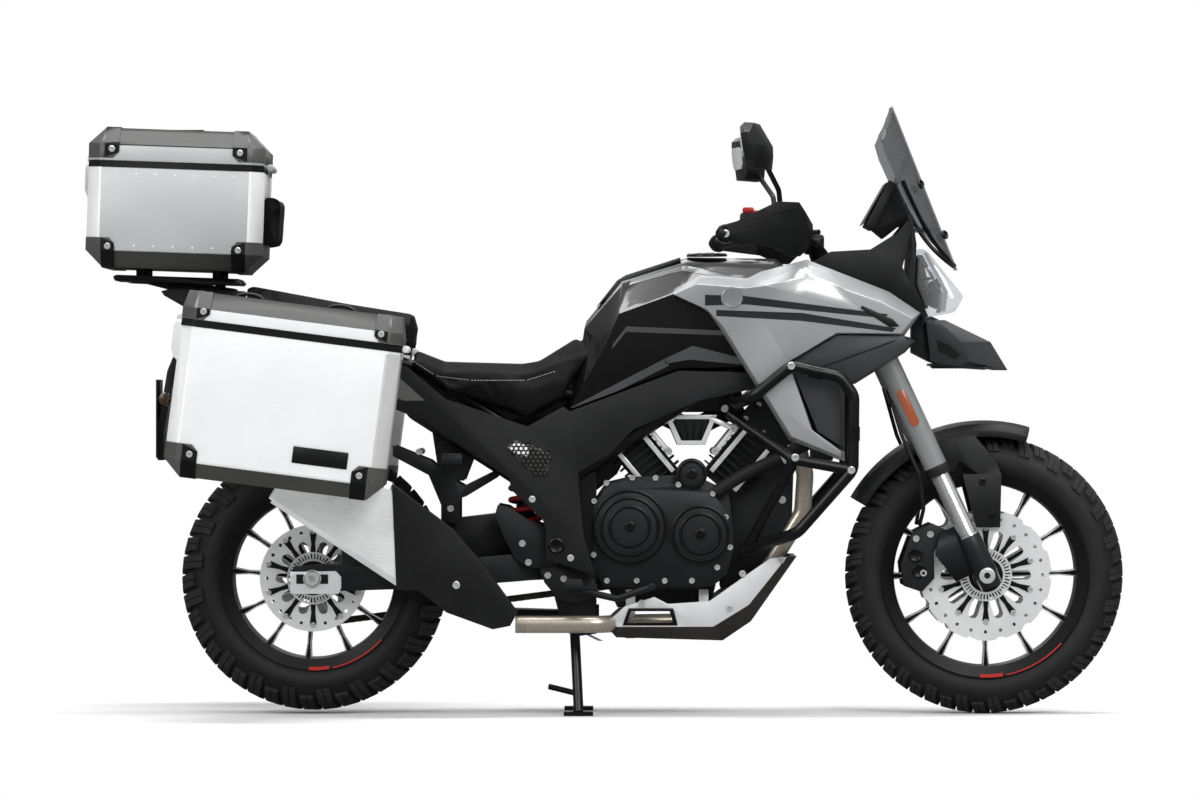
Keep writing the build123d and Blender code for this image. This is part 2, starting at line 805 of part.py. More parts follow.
# ---------------------------------------------------------------- shock
with BuildPart() as shock:
    add(rod((-176, 0, 379), (-170, 0, 640), 30))
    for turn in range(7):
        z = 405 + turn * 27
        x = -176 + (z - 379) * 6 / 261
        add(rod((x, 0, z), (x, 0, z + 14), 84))
    add(rod((-170, -30, 640), (-170, 30, 640), 36))
    add(main_frame.part, mode=Mode.SUBTRACT)
    add(swing_arm.part, mode=Mode.SUBTRACT)

# ---------------------------------------------------------------- radiator
with BuildPart() as radiator:
    add(slab([(498, 580), (536, 596), (536, 800), (498, 800)], 160, -160))
    add(engine_cylinders.part, mode=Mode.SUBTRACT)
    add(main_frame.part, mode=Mode.SUBTRACT)

# ---------------------------------------------------------------- exhaust
PIPE_D = 40
PIPE_Y = -165
SHIELD = [
    (-479, 539), (-342, 437), (-277, 363), (-190, 243), (-207, 212),
    (-247, 204), (-354, 243), (-416, 292), (-469, 294),
]
MUFFLER = [
    (-773, 504), (-466, 301), (-455, 319), (-441, 418), (-457, 502), (-480, 542), (-701, 612),
]
MUFFLER_END = [
    (-760, 508), (-462, 316), (-453, 334), (-446, 418), (-462, 494), (-486, 528), (-706, 596),
]

with BuildPart() as exhaust_pipes:
    add(
        tube(
            [(455, -50, 650), (478, -60, 560), (472, -60, 470), (388, -60, 335),
             (290, -70, 217), (60, -90, 214), (0, PIPE_Y, 213), (-196, PIPE_Y, 213)],
            PIPE_D,
            44,
        )
    )
    add(engine_cylinders.part, mode=Mode.SUBTRACT)
    add(engine_case.part, mode=Mode.SUBTRACT)

with BuildPart() as muffler:
    add(ruled([(-145, MUFFLER_END), (-160, MUFFLER), (-220, MUFFLER), (-235, MUFFLER_END)]))

with BuildPart() as heat_shield:
    add(slab(SHIELD, -172, -238))
    add(muffler.part, mode=Mode.SUBTRACT)
    add(exhaust_pipes.part, mode=Mode.SUBTRACT)

# ---------------------------------------------------------------- skid plate
SKID_HALF = 150
SKID = [
    (11, 212), (57, 254), (126, 276), (157, 260), (253, 266), (291, 293),
    (395, 366), (455, 370), (349, 220), (284, 176), (38, 183),
]
SKID_HOLLOW = [
    (5, 216), (60, 330), (380, 420), (452, 376), (346, 227), (282, 181), (41, 188),
]

with BuildPart() as skid_plate:
    add(slab(SKID, SKID_HALF, -SKID_HALF))
    add(slab(SKID_HOLLOW, SKID_HALF - SHELL, SHELL - SKID_HALF), mode=Mode.SUBTRACT)
    add(rounded_slab([(58, 214), (70, 246), (166, 246), (173, 214)], 160, -160, 6),
        mode=Mode.SUBTRACT)
    # mounting brackets up to the crankcase
    for x in (60, 230):
        for side in (-1, 1):
            add(slab([(x, 179), (x + 22, 179), (x + 22, 291.7), (x, 291.7)],
                     side * 92, side * 97))
    add(engine_case.part, mode=Mode.SUBTRACT)
    add(exhaust_pipes.part, mode=Mode.SUBTRACT)

# ---------------------------------------------------------------- crash bars
GUARD_TUBE_D = 27
GUARD_Y = -246

with BuildPart() as crash_bars:
    add(
        tube(
            [(300, -128, 786), (310, -170, 722), (350, GUARD_Y + 3, 738), (440, GUARD_Y, 811),
             (553, GUARD_Y, 786),
             (584, GUARD_Y, 743), (582, GUARD_Y, 571), (454, GUARD_Y + 6, 426), (340, -118, 385)],
            GUARD_TUBE_D,
            36,
        )
    )
    add(rod((449, GUARD_Y + 4, 594), (578, GUARD_Y, 571), GUARD_TUBE_D - 3))
    add(tube([(300, -132, 700), (449, GUARD_Y + 4, 594), (345, -126, 392)], GUARD_TUBE_D - 3, 20))
    mirror(about=Plane.XZ)
    add(rod((340, -126, 385), (340, 126, 385), 26))
    add(engine_case.part, mode=Mode.SUBTRACT)
    add(main_frame.part, mode=Mode.SUBTRACT)
    add(exhaust_pipes.part, mode=Mode.SUBTRACT)
    add(skid_plate.part, mode=Mode.SUBTRACT)
    add(engine_covers.part, mode=Mode.SUBTRACT)

# ---------------------------------------------------------------- fuel tank
TANK_MID = [
    (-40, 860), (-32, 916), (51, 1019), (206, 1066), (411, 1063), (438, 1040), (438, 900), (200, 830),
]
TANK_EDGE = [
    (-44, 850), (-36, 900), (51, 1000), (206, 1048), (400, 1046), (424, 1026), (424, 890), (200, 824),
]
TANK_SIDE = [
    (-70, 712), (10, 854), (44, 932), (190, 985), (372, 990), (400, 968), (380, 810), (181, 806),
]

with BuildPart() as fuel_tank:
    add(ruled([(0, TANK_MID), (-95, TANK_EDGE), (-168, TANK_SIDE)]))
    mirror(about=Plane.XZ)
    add(main_frame.part, mode=Mode.SUBTRACT)
    add(engine_cylinders.part, mode=Mode.SUBTRACT)

# ---------------------------------------------------------------- seats
RIDER_MID = [
    (-30, 886), (-140, 817), (-180, 811), (-362, 816), (-438, 846), (-446, 800), (-358, 768),
    (-168, 766), (-70, 790),
]
RIDER_EDGE = [
    (4, 850), (-150, 800), (-184, 792), (-360, 797), (-436, 826), (-444, 810), (-358, 737),
    (-168, 673), (-78, 722),
]
PILLION_MID = [(-420, 850), (-430, 925), (-587, 950), (-829, 995), (-836, 945), (-600, 890)]
PILLION_EDGE = [(-426, 840), (-436, 900), (-587, 926), (-829, 972), (-834, 940), (-600, 880)]

SEAT_HALF = 149.7

with BuildPart() as seat:
    add(ruled([(0, RIDER_MID), (-110, RIDER_MID), (-SEAT_HALF, RIDER_EDGE)]))
    add(ruled([(0, PILLION_MID), (-100, PILLION_MID), (-128, PILLION_EDGE)]))
    mirror(about=Plane.XZ)
    add(fuel_tank.part, mode=Mode.SUBTRACT)
    add(main_frame.part, mode=Mode.SUBTRACT)

# ---------------------------------------------------------------- side panels and lower fairings
PANEL_IN = [
    (172, 990), (232, 1022), (340, 1014), (372, 1030), (478, 1058), (668, 984), (742, 934),
    (704, 880), (548, 880), (440, 820), (496, 656), (566, 613), (566, 590), (436, 640),
    (382, 731), (364, 757), (276, 900), (250, 936),
]
PANEL_OUT = [
    (168, 976), (222, 1000), (331, 990), (370, 994), (480, 1016), (650, 958), (722, 920),
    (694, 886), (546, 888), (434, 820), (488, 664), (556, 614), (556, 600), (442, 648),
    (388, 736), (370, 762), (284, 902), (248, 940),
]
LOWER_IN = [
    (442, 816), (549, 877), (716, 878), (730, 868), (706, 842), (591, 770), (566, 764),
    (566, 613), (497, 655),
]
LOWER_OUT = [
    (438, 816), (548, 882), (698, 881), (716, 862), (696, 842), (585, 776), (552, 770),
    (556, 626), (503, 660),
]


def panel(inner, outer, y_in, y_out):
    """Hollow faceted panel, open on the side towards the bike."""
    solid = ruled([(y_in, inner), (y_out, outer)])
    shrink = SHELL
    with BuildPart() as shell:
        add(solid)
        with BuildSketch(Plane.XZ.offset(-y_in)) as open_face:
            add(profile(inner, y_in))
            offset(amount=-shrink, kind=Kind.INTERSECTION, mode=Mode.REPLACE)
        with BuildSketch(Plane.XZ.offset(-y_out - shrink)) as deep_face:
            add(profile(outer, y_out + shrink))
            offset(amount=-shrink, kind=Kind.INTERSECTION, mode=Mode.REPLACE)
        loft(sections=[open_face.sketch, deep_face.sketch], ruled=True, mode=Mode.SUBTRACT)
    return shell.part


with BuildPart() as side_panels:
    add(panel(PANEL_IN, PANEL_OUT, -172, -226))
    mirror(about=Plane.XZ)
    add(fuel_tank.part, mode=Mode.SUBTRACT)
    add(crash_bars.part, mode=Mode.SUBTRACT)

with BuildPart() as lower_fairings:
    add(panel(LOWER_IN, LOWER_OUT, -162, -212))
    mirror(about=Plane.XZ)
    add(side_panels.part, mode=Mode.SUBTRACT)
    add(crash_bars.part, mode=Mode.SUBTRACT)
    add(radiator.part, mode=Mode.SUBTRACT)

# ---------------------------------------------------------------- side covers under the seat
COVER_SIDE = [
    (-470, 817), (-446, 808), (-358, 735), (-168, 671), (-85, 717), (-70, 706), (181, 800),
    (340, 796), (365, 760), (226, 730), (77, 664), (25, 610), (-50, 564), (-49, 529),
    (-37, 414), (-10, 326), (-125, 365), (-125, 434), (-133, 456), (-207, 526), (-209, 552),
    (-410, 684), (-476, 712),
]

with BuildPart() as side_covers:
    add(slab(COVER_SIDE, -150, -176))
    mirror(about=Plane.XZ)
    for other in (fuel_tank, seat, main_frame, side_panels, crash_bars, engine_covers):
        add(other.part, mode=Mode.SUBTRACT)

# ---------------------------------------------------------------- front cowl with instrument
COWL_SIDE = [
    (470, 1040), (534, 1076), (627, 1081), (690, 1120), (724, 1162), (716, 1100),
    (700, 1040), (730, 980), (752, 926), (668, 984),
]

with BuildPart() as cockpit_cowl:
    for side in (-1, 1):
        add(slab(COWL_SIDE, side * 158, side * 163))
    # bulkhead across the front, behind the headlight
    add(
        slab(
            [(722, 1164), (733, 1093), (728, 1000), (760, 926), (748, 920), (716, 1000),
             (722, 1090), (712, 1160)],
            163,
            -163,
        )
    )
    # instrument on its bracket
    add(
        rounded_slab([(617, 1139), (672, 1244), (690, 1234), (636, 1129)], 105, -105, 3)
    )
    add(
        slab(
            [(676, 1230), (692, 1226), (717, 1160), (720, 1140), (697, 1138), (662, 1110), (634, 1133)],
            80,
            -80,
        )
    )
    add(main_frame.part, mode=Mode.SUBTRACT)
    add(side_panels.part, mode=Mode.SUBTRACT)

# ---------------------------------------------------------------- headlight and rear lamps
LAMP_MID = [(762, 1082), (849, 974), (828, 937), (764, 926), (722, 1000), (728, 1088)]
LAMP_EDGE = [(752, 1070), (800, 980), (796, 944), (762, 930), (722, 1000), (728, 1076)]

with BuildPart() as lamps:
    add(ruled([(0, LAMP_MID), (-45, LAMP_MID), (-110, LAMP_EDGE)]))
    mirror(about=Plane.XZ)
    add(cockpit_cowl.part, mode=Mode.SUBTRACT)
    add(rounded_slab([(-1012, 762), (-1004, 796), (-984, 796), (-990, 762)], 60, -60, 4))
    for side in (-1, 1):
        add(rod((-1008, side * 92, 730), (-1008, side * 150, 736), 30))

# ---------------------------------------------------------------- windscreen
SCREEN_FOOT = (839, 1028)
SCREEN_TOP = (685, 1417)
SCREEN_THICK = 4
SCREEN_HALF = 185
SCREEN_SWEEP = 69
SCREEN_OUTLINE = [
    (30, 1036), (61, 1061), (117, 1106), (172, 1180), (176, 1235), (180, 1300), (176, 1335),
    (150, 1360), (95, 1395), (40, 1417),
]

with BuildPart() as windscreen:
    with BuildSketch(Plane.XY.offset(SCREEN_FOOT[1])):
        with BuildLine():
            front_x = SCREEN_FOOT[0]
            back_x = front_x - SCREEN_SWEEP
            ThreePointArc((back_x, -SCREEN_HALF), (front_x, 0), (back_x, SCREEN_HALF))
            Line((back_x, SCREEN_HALF), (back_x - SCREEN_THICK, SCREEN_HALF - 3))
            ThreePointArc(
                (back_x - SCREEN_THICK, SCREEN_HALF - 3),
                (front_x - SCREEN_THICK, 0),
                (back_x - SCREEN_THICK, 3 - SCREEN_HALF),
            )
            Line((back_x - SCREEN_THICK, 3 - SCREEN_HALF), (back_x, -SCREEN_HALF))
        make_face()
    extrude(
        amount=hypot(SCREEN_TOP[0] - SCREEN_FOOT[0], SCREEN_TOP[1] - SCREEN_FOOT[1]),
        dir=(SCREEN_TOP[0] - SCREEN_FOOT[0], 0, SCREEN_TOP[1] - SCREEN_FOOT[1]),
    )
    add(
        front_block(
            [(-y, z) for y, z in SCREEN_OUTLINE] + list(reversed(SCREEN_OUTLINE)), 500, 900
        ),
        mode=Mode.INTERSECT,
    )
    add(lamps.part, mode=Mode.SUBTRACT)
    # stays back to the cowl
    for side in (-1, 1):
        add(rod((724, side * 60, 1130), (792, side * 60, 1130), 10))
        add(rod((684, side * 70, 1222), (719, side * 70, 1300), 10))
    add(cockpit_cowl.part, mode=Mode.SUBTRACT)

# ---------------------------------------------------------------- beak
BEAK_MID = [(758, 920), (806, 919), (912, 868), (952, 802), (907, 802), (811, 812), (768, 820)]
BEAK_EDGE = [(758, 912), (796, 908), (840, 868), (858, 822), (834, 812), (790, 816), (768, 824)]

with BuildPart() as beak:
    add(ruled([(0, BEAK_MID), (-28, BEAK_MID), (-100, BEAK_EDGE)]))
    add(
        ruled(
            [
                (1, [(745, 912), (800, 911), (906, 863), (938, 806), (905, 795), (811, 795), (745, 795)]),
                (-26, [(745, 912), (800, 911), (906, 863), (938, 806), (905, 795), (811, 795), (745, 795)]),
                (-95, [(745, 904), (790, 900), (834, 864), (846, 826), (830, 795), (790, 795), (745, 795)]),
            ]
        ),
        mode=Mode.SUBTRACT,
    )
    mirror(about=Plane.XZ)
    # grille floor and the tongue that bolts under the frame's two arms
    add(slab([(768, 812), (900, 803), (900, 808), (768, 818)], 70, -70))
    add(slab([(738, 938), (752, 938), (790, 921), (790, 900), (770, 900)], 27, -27))
    add(main_frame.part, mode=Mode.SUBTRACT)
    add(lamps.part, mode=Mode.SUBTRACT)
    add(cockpit_cowl.part, mode=Mode.SUBTRACT)

# ---------------------------------------------------------------- tail and plate holder
with BuildPart() as tail_unit:
    add(
        ruled(
            [
                (-70, [(-800, 985), (-1000, 992), (-1022, 986), (-1016, 976), (-960, 944), (-800, 925)]),
                (70, [(-800, 985), (-1000, 992), (-1022, 986), (-1016, 976), (-960, 944), (-800, 925)]),
            ]
        )
    )
    add(
        slab(
            [(-900, 940), (-950, 940), (-1008, 800), (-1030, 667), (-1030, 592), (-1018, 592),
             (-1016, 660), (-990, 800), (-930, 920)],
            72,
            -72,
        )
    )
    add(slab([(-1033, 600), (-1033, 780), (-1029, 780), (-1029, 600)], 90, -90))
    for side in (-1, 1):
        add(rod((-1008, side * 60, 730), (-1008, side * 92, 730), 14))
    for other in (main_frame, seat, lamps):
        add(other.part, mode=Mode.SUBTRACT)

# ---------------------------------------------------------------- cases
CASE_TILT = 7.3
CASE_CENTRE = (-718, 0, 742)
CASE_Y_IN = 245
CASE_Y_OUT = 478
CASE_L = 500
CASE_LOW = -210
CASE_SPLIT = 140
CASE_TOP = 210
CASE_CORNER = 26
CASE_BEVEL = 38
CASE_LID_END = 8
SEAM = 0.6
HINGE_R = 8
HINGE_OUT = 10
LATCH_OUT = 22
LATCH_H = 94
LATCH_W = 44
BEVEL_WALL = SHEET * (sqrt(2) - 1)

PANNIER = Plane(
    origin=CASE_CENTRE,
    x_dir=(cos(radians(CASE_TILT)), 0, -sin(radians(CASE_TILT))),
    z_dir=(sin(radians(CASE_TILT)), 0, cos(radians(CASE_TILT))),
)
TOP_TILT = 2
TOP_CENTRE = (-983, 0, 1161)
TOP_HALF_W = 215
TOP_L = 402
TOP_LOW = -125
TOP_SPLIT = 119
TOP_TOP = 195
TOPCASE = Plane(
    origin=TOP_CENTRE,
    x_dir=(cos(radians(TOP_TILT)), 0, -sin(radians(TOP_TILT))),
    z_dir=(sin(radians(TOP_TILT)), 0, cos(radians(TOP_TILT))),
)


def case_body(plane, length, y_in, y_out, rows):
    """Body ruled through eight-sided plans, one (height, end inset, side inset) row for each."""
    with BuildPart() as body:
        for height, end_in, side_in in rows:
            half = length / 2 - end_in
            near = y_in + side_in
            far = y_out - side_in
            cut = CASE_CORNER - (2 - sqrt(2)) * min(end_in, side_in)
            with BuildSketch(plane.offset(height)):
                with BuildLine():
                    Polyline(
                        (-half, near + cut), (-half, far - cut), (cut - half, far),
                        (half - cut, far), (half, far - cut), (half, near + cut),
                        (half - cut, near), (cut - half, near), close=True,
                    )
                make_face()
        loft(ruled=True)
    return body.part


def tray(plane, length, y_in, y_out, low, high):
    """Lower part of a case, open at the top, with bevelled bottom edges."""
    bevel = CASE_BEVEL
    inset = bevel + BEVEL_WALL
    outside = [(low, bevel, bevel), (low + bevel, 0, 0), (high, 0, 0)]
    inside = [(low + SHEET, inset, inset), (low + inset, SHEET, SHEET), (high + 1, SHEET, SHEET)]
    with BuildPart() as shell:
        add(case_body(plane, length, y_in, y_out, outside))
        add(case_body(plane, length, y_in, y_out, inside), mode=Mode.SUBTRACT)
    return shell.part


def lid(plane, length, y_in, y_out, low, high, end_in):
    """Lid of a case, open below, with bevelled top edges."""
    bevel = CASE_BEVEL
    inset = bevel + BEVEL_WALL
    outside = [(low, 0, 0), (high - bevel, 0, 0), (high, end_in, bevel)]
    inside = [(low - 1, SHEET, SHEET), (high - inset, SHEET, SHEET),
              (high - SHEET, end_in + BEVEL_WALL, inset)]
    with BuildPart() as shell:
        add(case_body(plane, length, y_in, y_out, outside))
        add(case_body(plane, length, y_in, y_out, inside), mode=Mode.SUBTRACT)
    return shell.part


def case_slab(plane, points, y_from, y_to):
    """Side outline in a case's own axes, thickened between two y values."""
    face = Plane(origin=plane.origin, x_dir=plane.x_dir, z_dir=(0, -1, 0)).offset(-y_from)
    with BuildPart() as plate:
        with BuildSketch(face):
            with BuildLine():
                Polyline(*points, close=True)
            make_face()
        extrude(amount=y_from - y_to)
    return plate.part


def hinge_point(plane, x, z):
    """World (x, z) of a point in a case's own plane."""
    point = plane.from_local_coords(Vector(x, 0, z))
    return (point.X, point.Z)


def knuckle(plane, length, z, y_from, y_to, on_lid):
    """Hinge leaf and barrel on one side of a case's front wall."""
    low, high = (z + SEAM, z + 24) if on_lid else (z - 24, z)
    wall = length / 2
    leaf = case_slab(plane, [(wall - 1, low), (wall + 4, low), (wall + 4, high), (wall - 1, high)],
                     y_to, y_from)
    point = hinge_point(plane, wall + HINGE_OUT, z)
    return leaf + cross_pin(point[0], point[1], y_from, y_to, HINGE_R)


def latch(plane, length, z, y):
    """Over-centre latch on the rear wall, just under the lid."""
    wall = 1 - length / 2
    out = -length / 2 - LATCH_OUT
    return case_slab(
        plane,
        [(wall, z - 3), (out + 3, z - 3), (out, z - 12), (out, z - LATCH_H + 30),
         (out + 8, z - LATCH_H + 10), (wall, z - LATCH_H)],
        y + LATCH_W / 2,
        y - LATCH_W / 2,
    )


def catch(plane, length, z, y):
    """Keeper on the lid that the latch hooks over."""
    wall = 1 - length / 2
    out = -length / 2 - LATCH_OUT + 4
    return case_slab(
        plane, [(wall, z + 3), (out, z + 3), (out, z + 14), (wall, z + 20)],
        y + LATCH_W / 2 - 6, y - LATCH_W / 2 + 6,
    )


CASE_MID_Y = -(CASE_Y_IN + CASE_Y_OUT) / 2

with BuildPart() as pannier_boxes:
    add(tray(PANNIER, CASE_L, -CASE_Y_OUT, -CASE_Y_IN, CASE_LOW, CASE_SPLIT))
    add(knuckle(PANNIER, CASE_L, CASE_SPLIT, -400, -322, False))
    add(latch(PANNIER, CASE_L, CASE_SPLIT, CASE_MID_Y))
    mirror(about=Plane.XZ)

with BuildPart() as pannier_lid_right:
    add(lid(PANNIER, CASE_L, -CASE_Y_OUT, -CASE_Y_IN, CASE_SPLIT + SEAM, CASE_TOP, CASE_LID_END))
    add(knuckle(PANNIER, CASE_L, CASE_SPLIT, -440, -401, True))
    add(knuckle(PANNIER, CASE_L, CASE_SPLIT, -321, -282, True))
    add(catch(PANNIER, CASE_L, CASE_SPLIT, CASE_MID_Y))

with BuildPart() as pannier_lid_left:
    add(mirror(pannier_lid_right.part, about=Plane.XZ, mode=Mode.PRIVATE))

with BuildPart() as top_case:
    add(tray(TOPCASE, TOP_L, -TOP_HALF_W, TOP_HALF_W, TOP_LOW, TOP_SPLIT))
    add(knuckle(TOPCASE, TOP_L, TOP_SPLIT, -40, 40, False))
    add(latch(TOPCASE, TOP_L, TOP_SPLIT, 0))

with BuildPart() as top_case_lid:
    add(lid(TOPCASE, TOP_L, -TOP_HALF_W, TOP_HALF_W, TOP_SPLIT + SEAM, TOP_TOP, CASE_BEVEL))
    add(knuckle(TOPCASE, TOP_L, TOP_SPLIT, -90, -41, True))
    add(knuckle(TOPCASE, TOP_L, TOP_SPLIT, 41, 90, True))
    add(catch(TOPCASE, TOP_L, TOP_SPLIT, 0))

PAD_FACE = TOP_L / 2

with BuildPart() as backrest:
    add(
        case_slab(
            TOPCASE,
            [(PAD_FACE - 1, -70), (PAD_FACE + 34, -64), (PAD_FACE + 38, 50), (PAD_FACE - 1, 56)],
            120,
            -120,
        )
    )
    add(top_case.part, mode=Mode.SUBTRACT)

# ---------------------------------------------------------------- luggage rack
RACK_TOP = TOP_LOW - 17

with BuildPart() as luggage_rack:
    add(
        case_slab(
            TOPCASE,
            [(-140, RACK_TOP - 14), (-144, RACK_TOP - 4), (-136, RACK_TOP), (148, RACK_TOP),
             (156, RACK_TOP - 8), (152, RACK_TOP - 14)],
            100,
            -100,
        )
    )
    for x in (-1066, -888):
        for side in (-1, 1):
            add(rod((x, side * 60, 1008), (x, side * 60, 1052), 30))
            add(rod((x, side * 40, 935), (x, side * 40, 1014), 20))
    for side in (-1, 1):
        add(
            tube(
                [(-560, side * 102, 852), (-560, side * 235, 880), (-850, side * 235, 918),
                 (-880, side * 235, 660), (-600, side * 235, 640), (-560, side * 235, 860)],
                16,
                24,
            )
        )
        add(rod((-850, side * 90, 935), (-850, side * 235, 905), 16))
        for x, z in ((-868, 760), (-594, 650), (-580, 760)):
            add(rod((x, side * 228, z), (x, side * (CASE_Y_IN + 1), z), 26))
    for other in (main_frame, tail_unit, top_case, seat, pannier_boxes):
        add(other.part, mode=Mode.SUBTRACT)

# ---------------------------------------------------------------- hugger ahead of the rear tyre
HUGGER = [
    (-345, 340), (-358, 400), (-372, 448), (-340, 456), (-240, 468), (-214, 428), (-198, 345),
]
HUGGER_HOLLOW = [
    (-400, 330), (-400, 444), (-372, 444), (-340, 451), (-243, 463), (-219, 427), (-203, 330),
]

with BuildPart() as rear_hugger:
    add(slab(HUGGER, 76, -92))
    add(slab(HUGGER_HOLLOW, 76 - SHELL, SHELL - 92), mode=Mode.SUBTRACT)
    for side, wall in ((-1, 92), (1, 76)):
        add(rod((-300, side * (wall - SHELL), 352), (-300, side * (ARM_IN + 1), 352), 16))
    for other in (swing_arm, chain, shock, main_frame):
        add(other.part, mode=Mode.SUBTRACT)

# ---------------------------------------------------------------- foot controls
HEEL_BOSSES = ((-106, 375), (-106, 415))

with BuildPart() as foot_controls:
    for side in (-1, 1):
        add(rod((-62, side * PLATE_OUT, 300), (-62, side * 160, 300), 24))
        add(slab([(-80, 296), (-80, 314), (-40, 314), (-40, 296)], side * 158, side * 245))
        # pillion bracket hung from the lower seat tube, and its peg
        add(slab([(-481, 628), (-393, 592), (-350, 553), (-315, 533), (-247, 567), (-237, 553),
                  (-310, 509), (-325, 504), (-325, 445), (-369, 450), (-369, 489), (-398, 558),
                  (-481, 602)], side * 112, side * 120))
        add(slab([(-392, 676), (-290, 610), (-315, 545), (-372, 545)], side * 112, side * 120))
        add(slab([(-366, 604), (-318, 604), (-318, 586), (-366, 586)], side * 118, side * 238))
        # heel guard and peg bracket on the frame's side plate
        add(slab([(-244, 465), (-237, 490), (-212, 485), (-168, 456), (-100, 430), (-100, 350),
                  (-151, 343), (-173, 348), (-198, 368), (-222, 412)],
                 side * (ARM_OUT + 1), side * (ARM_OUT + 7)))
        for x, z in HEEL_BOSSES:
            add(rod((x, side * (PLATE_OUT - 1), z), (x, side * (ARM_OUT + 2), z), 20))
        add(slab([(-144, 353), (-120, 365), (-22, 329), (-3, 292), (-8, 276), (-56, 262),
                  (-95, 268), (-129, 309)], side * PLATE_OUT, side * (PLATE_OUT + 12)))
    # brake pedal on the right, gear lever on the left
    add(tube([(-40, -150, 290), (40, -156, 272), (120, -156, 300)], 16, 20))
    add(rod((-40, -PLATE_OUT + 1, 290), (-40, -152, 290), 22))
    add(rod((120, -150, 300), (120, -190, 300), 18))
    add(tube([(-40, 150, 290), (40, 156, 300), (130, 156, 320)], 14, 20))
    add(rod((-40, PLATE_OUT - 1, 290), (-40, 152, 290), 22))
    add(rod((130, 150, 320), (130, 196, 320), 16))
    for other in (main_frame, engine_covers, side_covers, exhaust_pipes, skid_plate, heat_shield):
        add(other.part, mode=Mode.SUBTRACT)

# ---------------------------------------------------------------- stands
STAND_Y = 86
STAND_FOOT = (-50, 135)

with BuildPart() as centre_stand:
    for side in (-1, 1):
        add(cross_pin(*STAND_PIVOT, side * (STAND_Y - 10), side * (STAND_Y + 10), 18))
        add(tube([(STAND_PIVOT[0], side * STAND_Y, STAND_PIVOT[1]), (-57, side * (STAND_Y + 2), 150),
                  (STAND_FOOT[0], side * STAND_FOOT[1], 9)], 22, 40))
        add(slab([(-84, 0), (-16, 0), (-16, 10), (-84, 10)],
                 side * (STAND_FOOT[1] - 16), side * (STAND_FOOT[1] + 16)))
    add(rod((-56, -STAND_Y, 150), (-56, STAND_Y, 150), 20))
    add(rod((-54, 126, 40), (-120, 152, 55), 14))
    for side in (-1, 1):
        add(cross_pin(*STAND_PIVOT, side * 70, side * 120, STAND_PIN_R + GAP), mode=Mode.SUBTRACT)
    add(plan_block([(-300, -300), (200, -300), (200, 300), (-300, 300)], -40, 0), mode=Mode.SUBTRACT)

SIDE_LEG_L = 195

with BuildPart() as side_stand:
    px, py, pz = SIDE_STAND_PIVOT
    add(rod(on_side_axis(-11), on_side_axis(11), 40))
    add(rod((px, py, pz), (px - SIDE_LEG_L, py + 8, pz + 6), 22))
    add(rounded_slab(
        [(px - SIDE_LEG_L - 10, pz - 16), (px - SIDE_LEG_L - 10, pz + 28),
         (px - SIDE_LEG_L + 2, pz + 28), (px - SIDE_LEG_L + 2, pz - 16)],
        py + 30, py - 5, 4))
    add(rod(on_side_axis(-40), on_side_axis(40), 2 * (STAND_PIN_R + GAP)), mode=Mode.SUBTRACT)

# ---------------------------------------------------------------- export
PIECES = {
    "front_tyre": front_tyre,
    "rear_tyre": rear_tyre,
    "front_rim": front_rim,
    "rear_rim": rear_rim,
    "front_discs": front_discs,
    "rear_disc_sprocket": rear_disc_sprocket,
    "fork_upper": fork_upper,
    "fork_legs": fork_legs,
    "front_calipers": front_calipers,
    "front_fender": front_fender,
    "handlebar": handlebar,
    "hand_guards": hand_guards,
    "mirrors": mirrors,
    "brake_hoses": brake_hoses,
    "main_frame": main_frame,
    "engine_case": engine_case,
    "engine_cylinders": engine_cylinders,
    "engine_covers": engine_covers,
    "swing_arm": swing_arm,
    "chain": chain,
    "shock": shock,
    "radiator": radiator,
    "exhaust_pipes": exhaust_pipes,
    "muffler": muffler,
    "heat_shield": heat_shield,
    "skid_plate": skid_plate,
    "crash_bars": crash_bars,
    "fuel_tank": fuel_tank,
    "seat": seat,
    "side_panels": side_panels,
    "lower_fairings": lower_fairings,
    "side_covers": side_covers,
    "cockpit_cowl": cockpit_cowl,
    "lamps": lamps,
    "windscreen": windscreen,
    "beak": beak,
    "tail_unit": tail_unit,
    "pannier_boxes": pannier_boxes,
    "pannier_lid_right": pannier_lid_right,
    "pannier_lid_left": pannier_lid_left,
    "top_case": top_case,
    "top_case_lid": top_case_lid,
    "backrest": backrest,
    "luggage_rack": luggage_rack,
    "rear_hugger": rear_hugger,
    "foot_controls": foot_controls,
    "centre_stand": centre_stand,
    "side_stand": side_stand,
}

for label, piece in PIECES.items():
    piece.part.label = label
    export_step(piece.part, f"parts/{label}.step")
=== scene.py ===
import json
import logging
import math
from dataclasses import dataclass
from enum import Enum
from typing import Iterable, Sequence

import bpy
from mathutils import Matrix, Vector


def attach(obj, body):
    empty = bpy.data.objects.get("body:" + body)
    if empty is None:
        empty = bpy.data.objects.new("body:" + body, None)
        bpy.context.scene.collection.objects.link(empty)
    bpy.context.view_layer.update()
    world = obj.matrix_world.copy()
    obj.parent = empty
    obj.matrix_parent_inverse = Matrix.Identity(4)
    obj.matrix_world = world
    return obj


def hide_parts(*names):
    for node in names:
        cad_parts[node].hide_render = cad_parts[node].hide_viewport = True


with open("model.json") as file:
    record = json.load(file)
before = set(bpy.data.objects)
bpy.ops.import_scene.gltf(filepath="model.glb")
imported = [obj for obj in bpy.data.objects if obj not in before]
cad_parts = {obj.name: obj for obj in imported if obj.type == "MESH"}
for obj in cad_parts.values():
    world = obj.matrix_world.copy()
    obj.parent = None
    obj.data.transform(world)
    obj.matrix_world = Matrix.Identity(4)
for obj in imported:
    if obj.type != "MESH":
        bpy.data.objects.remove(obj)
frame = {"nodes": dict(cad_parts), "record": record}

LOG = logging.getLogger("motorcycle")
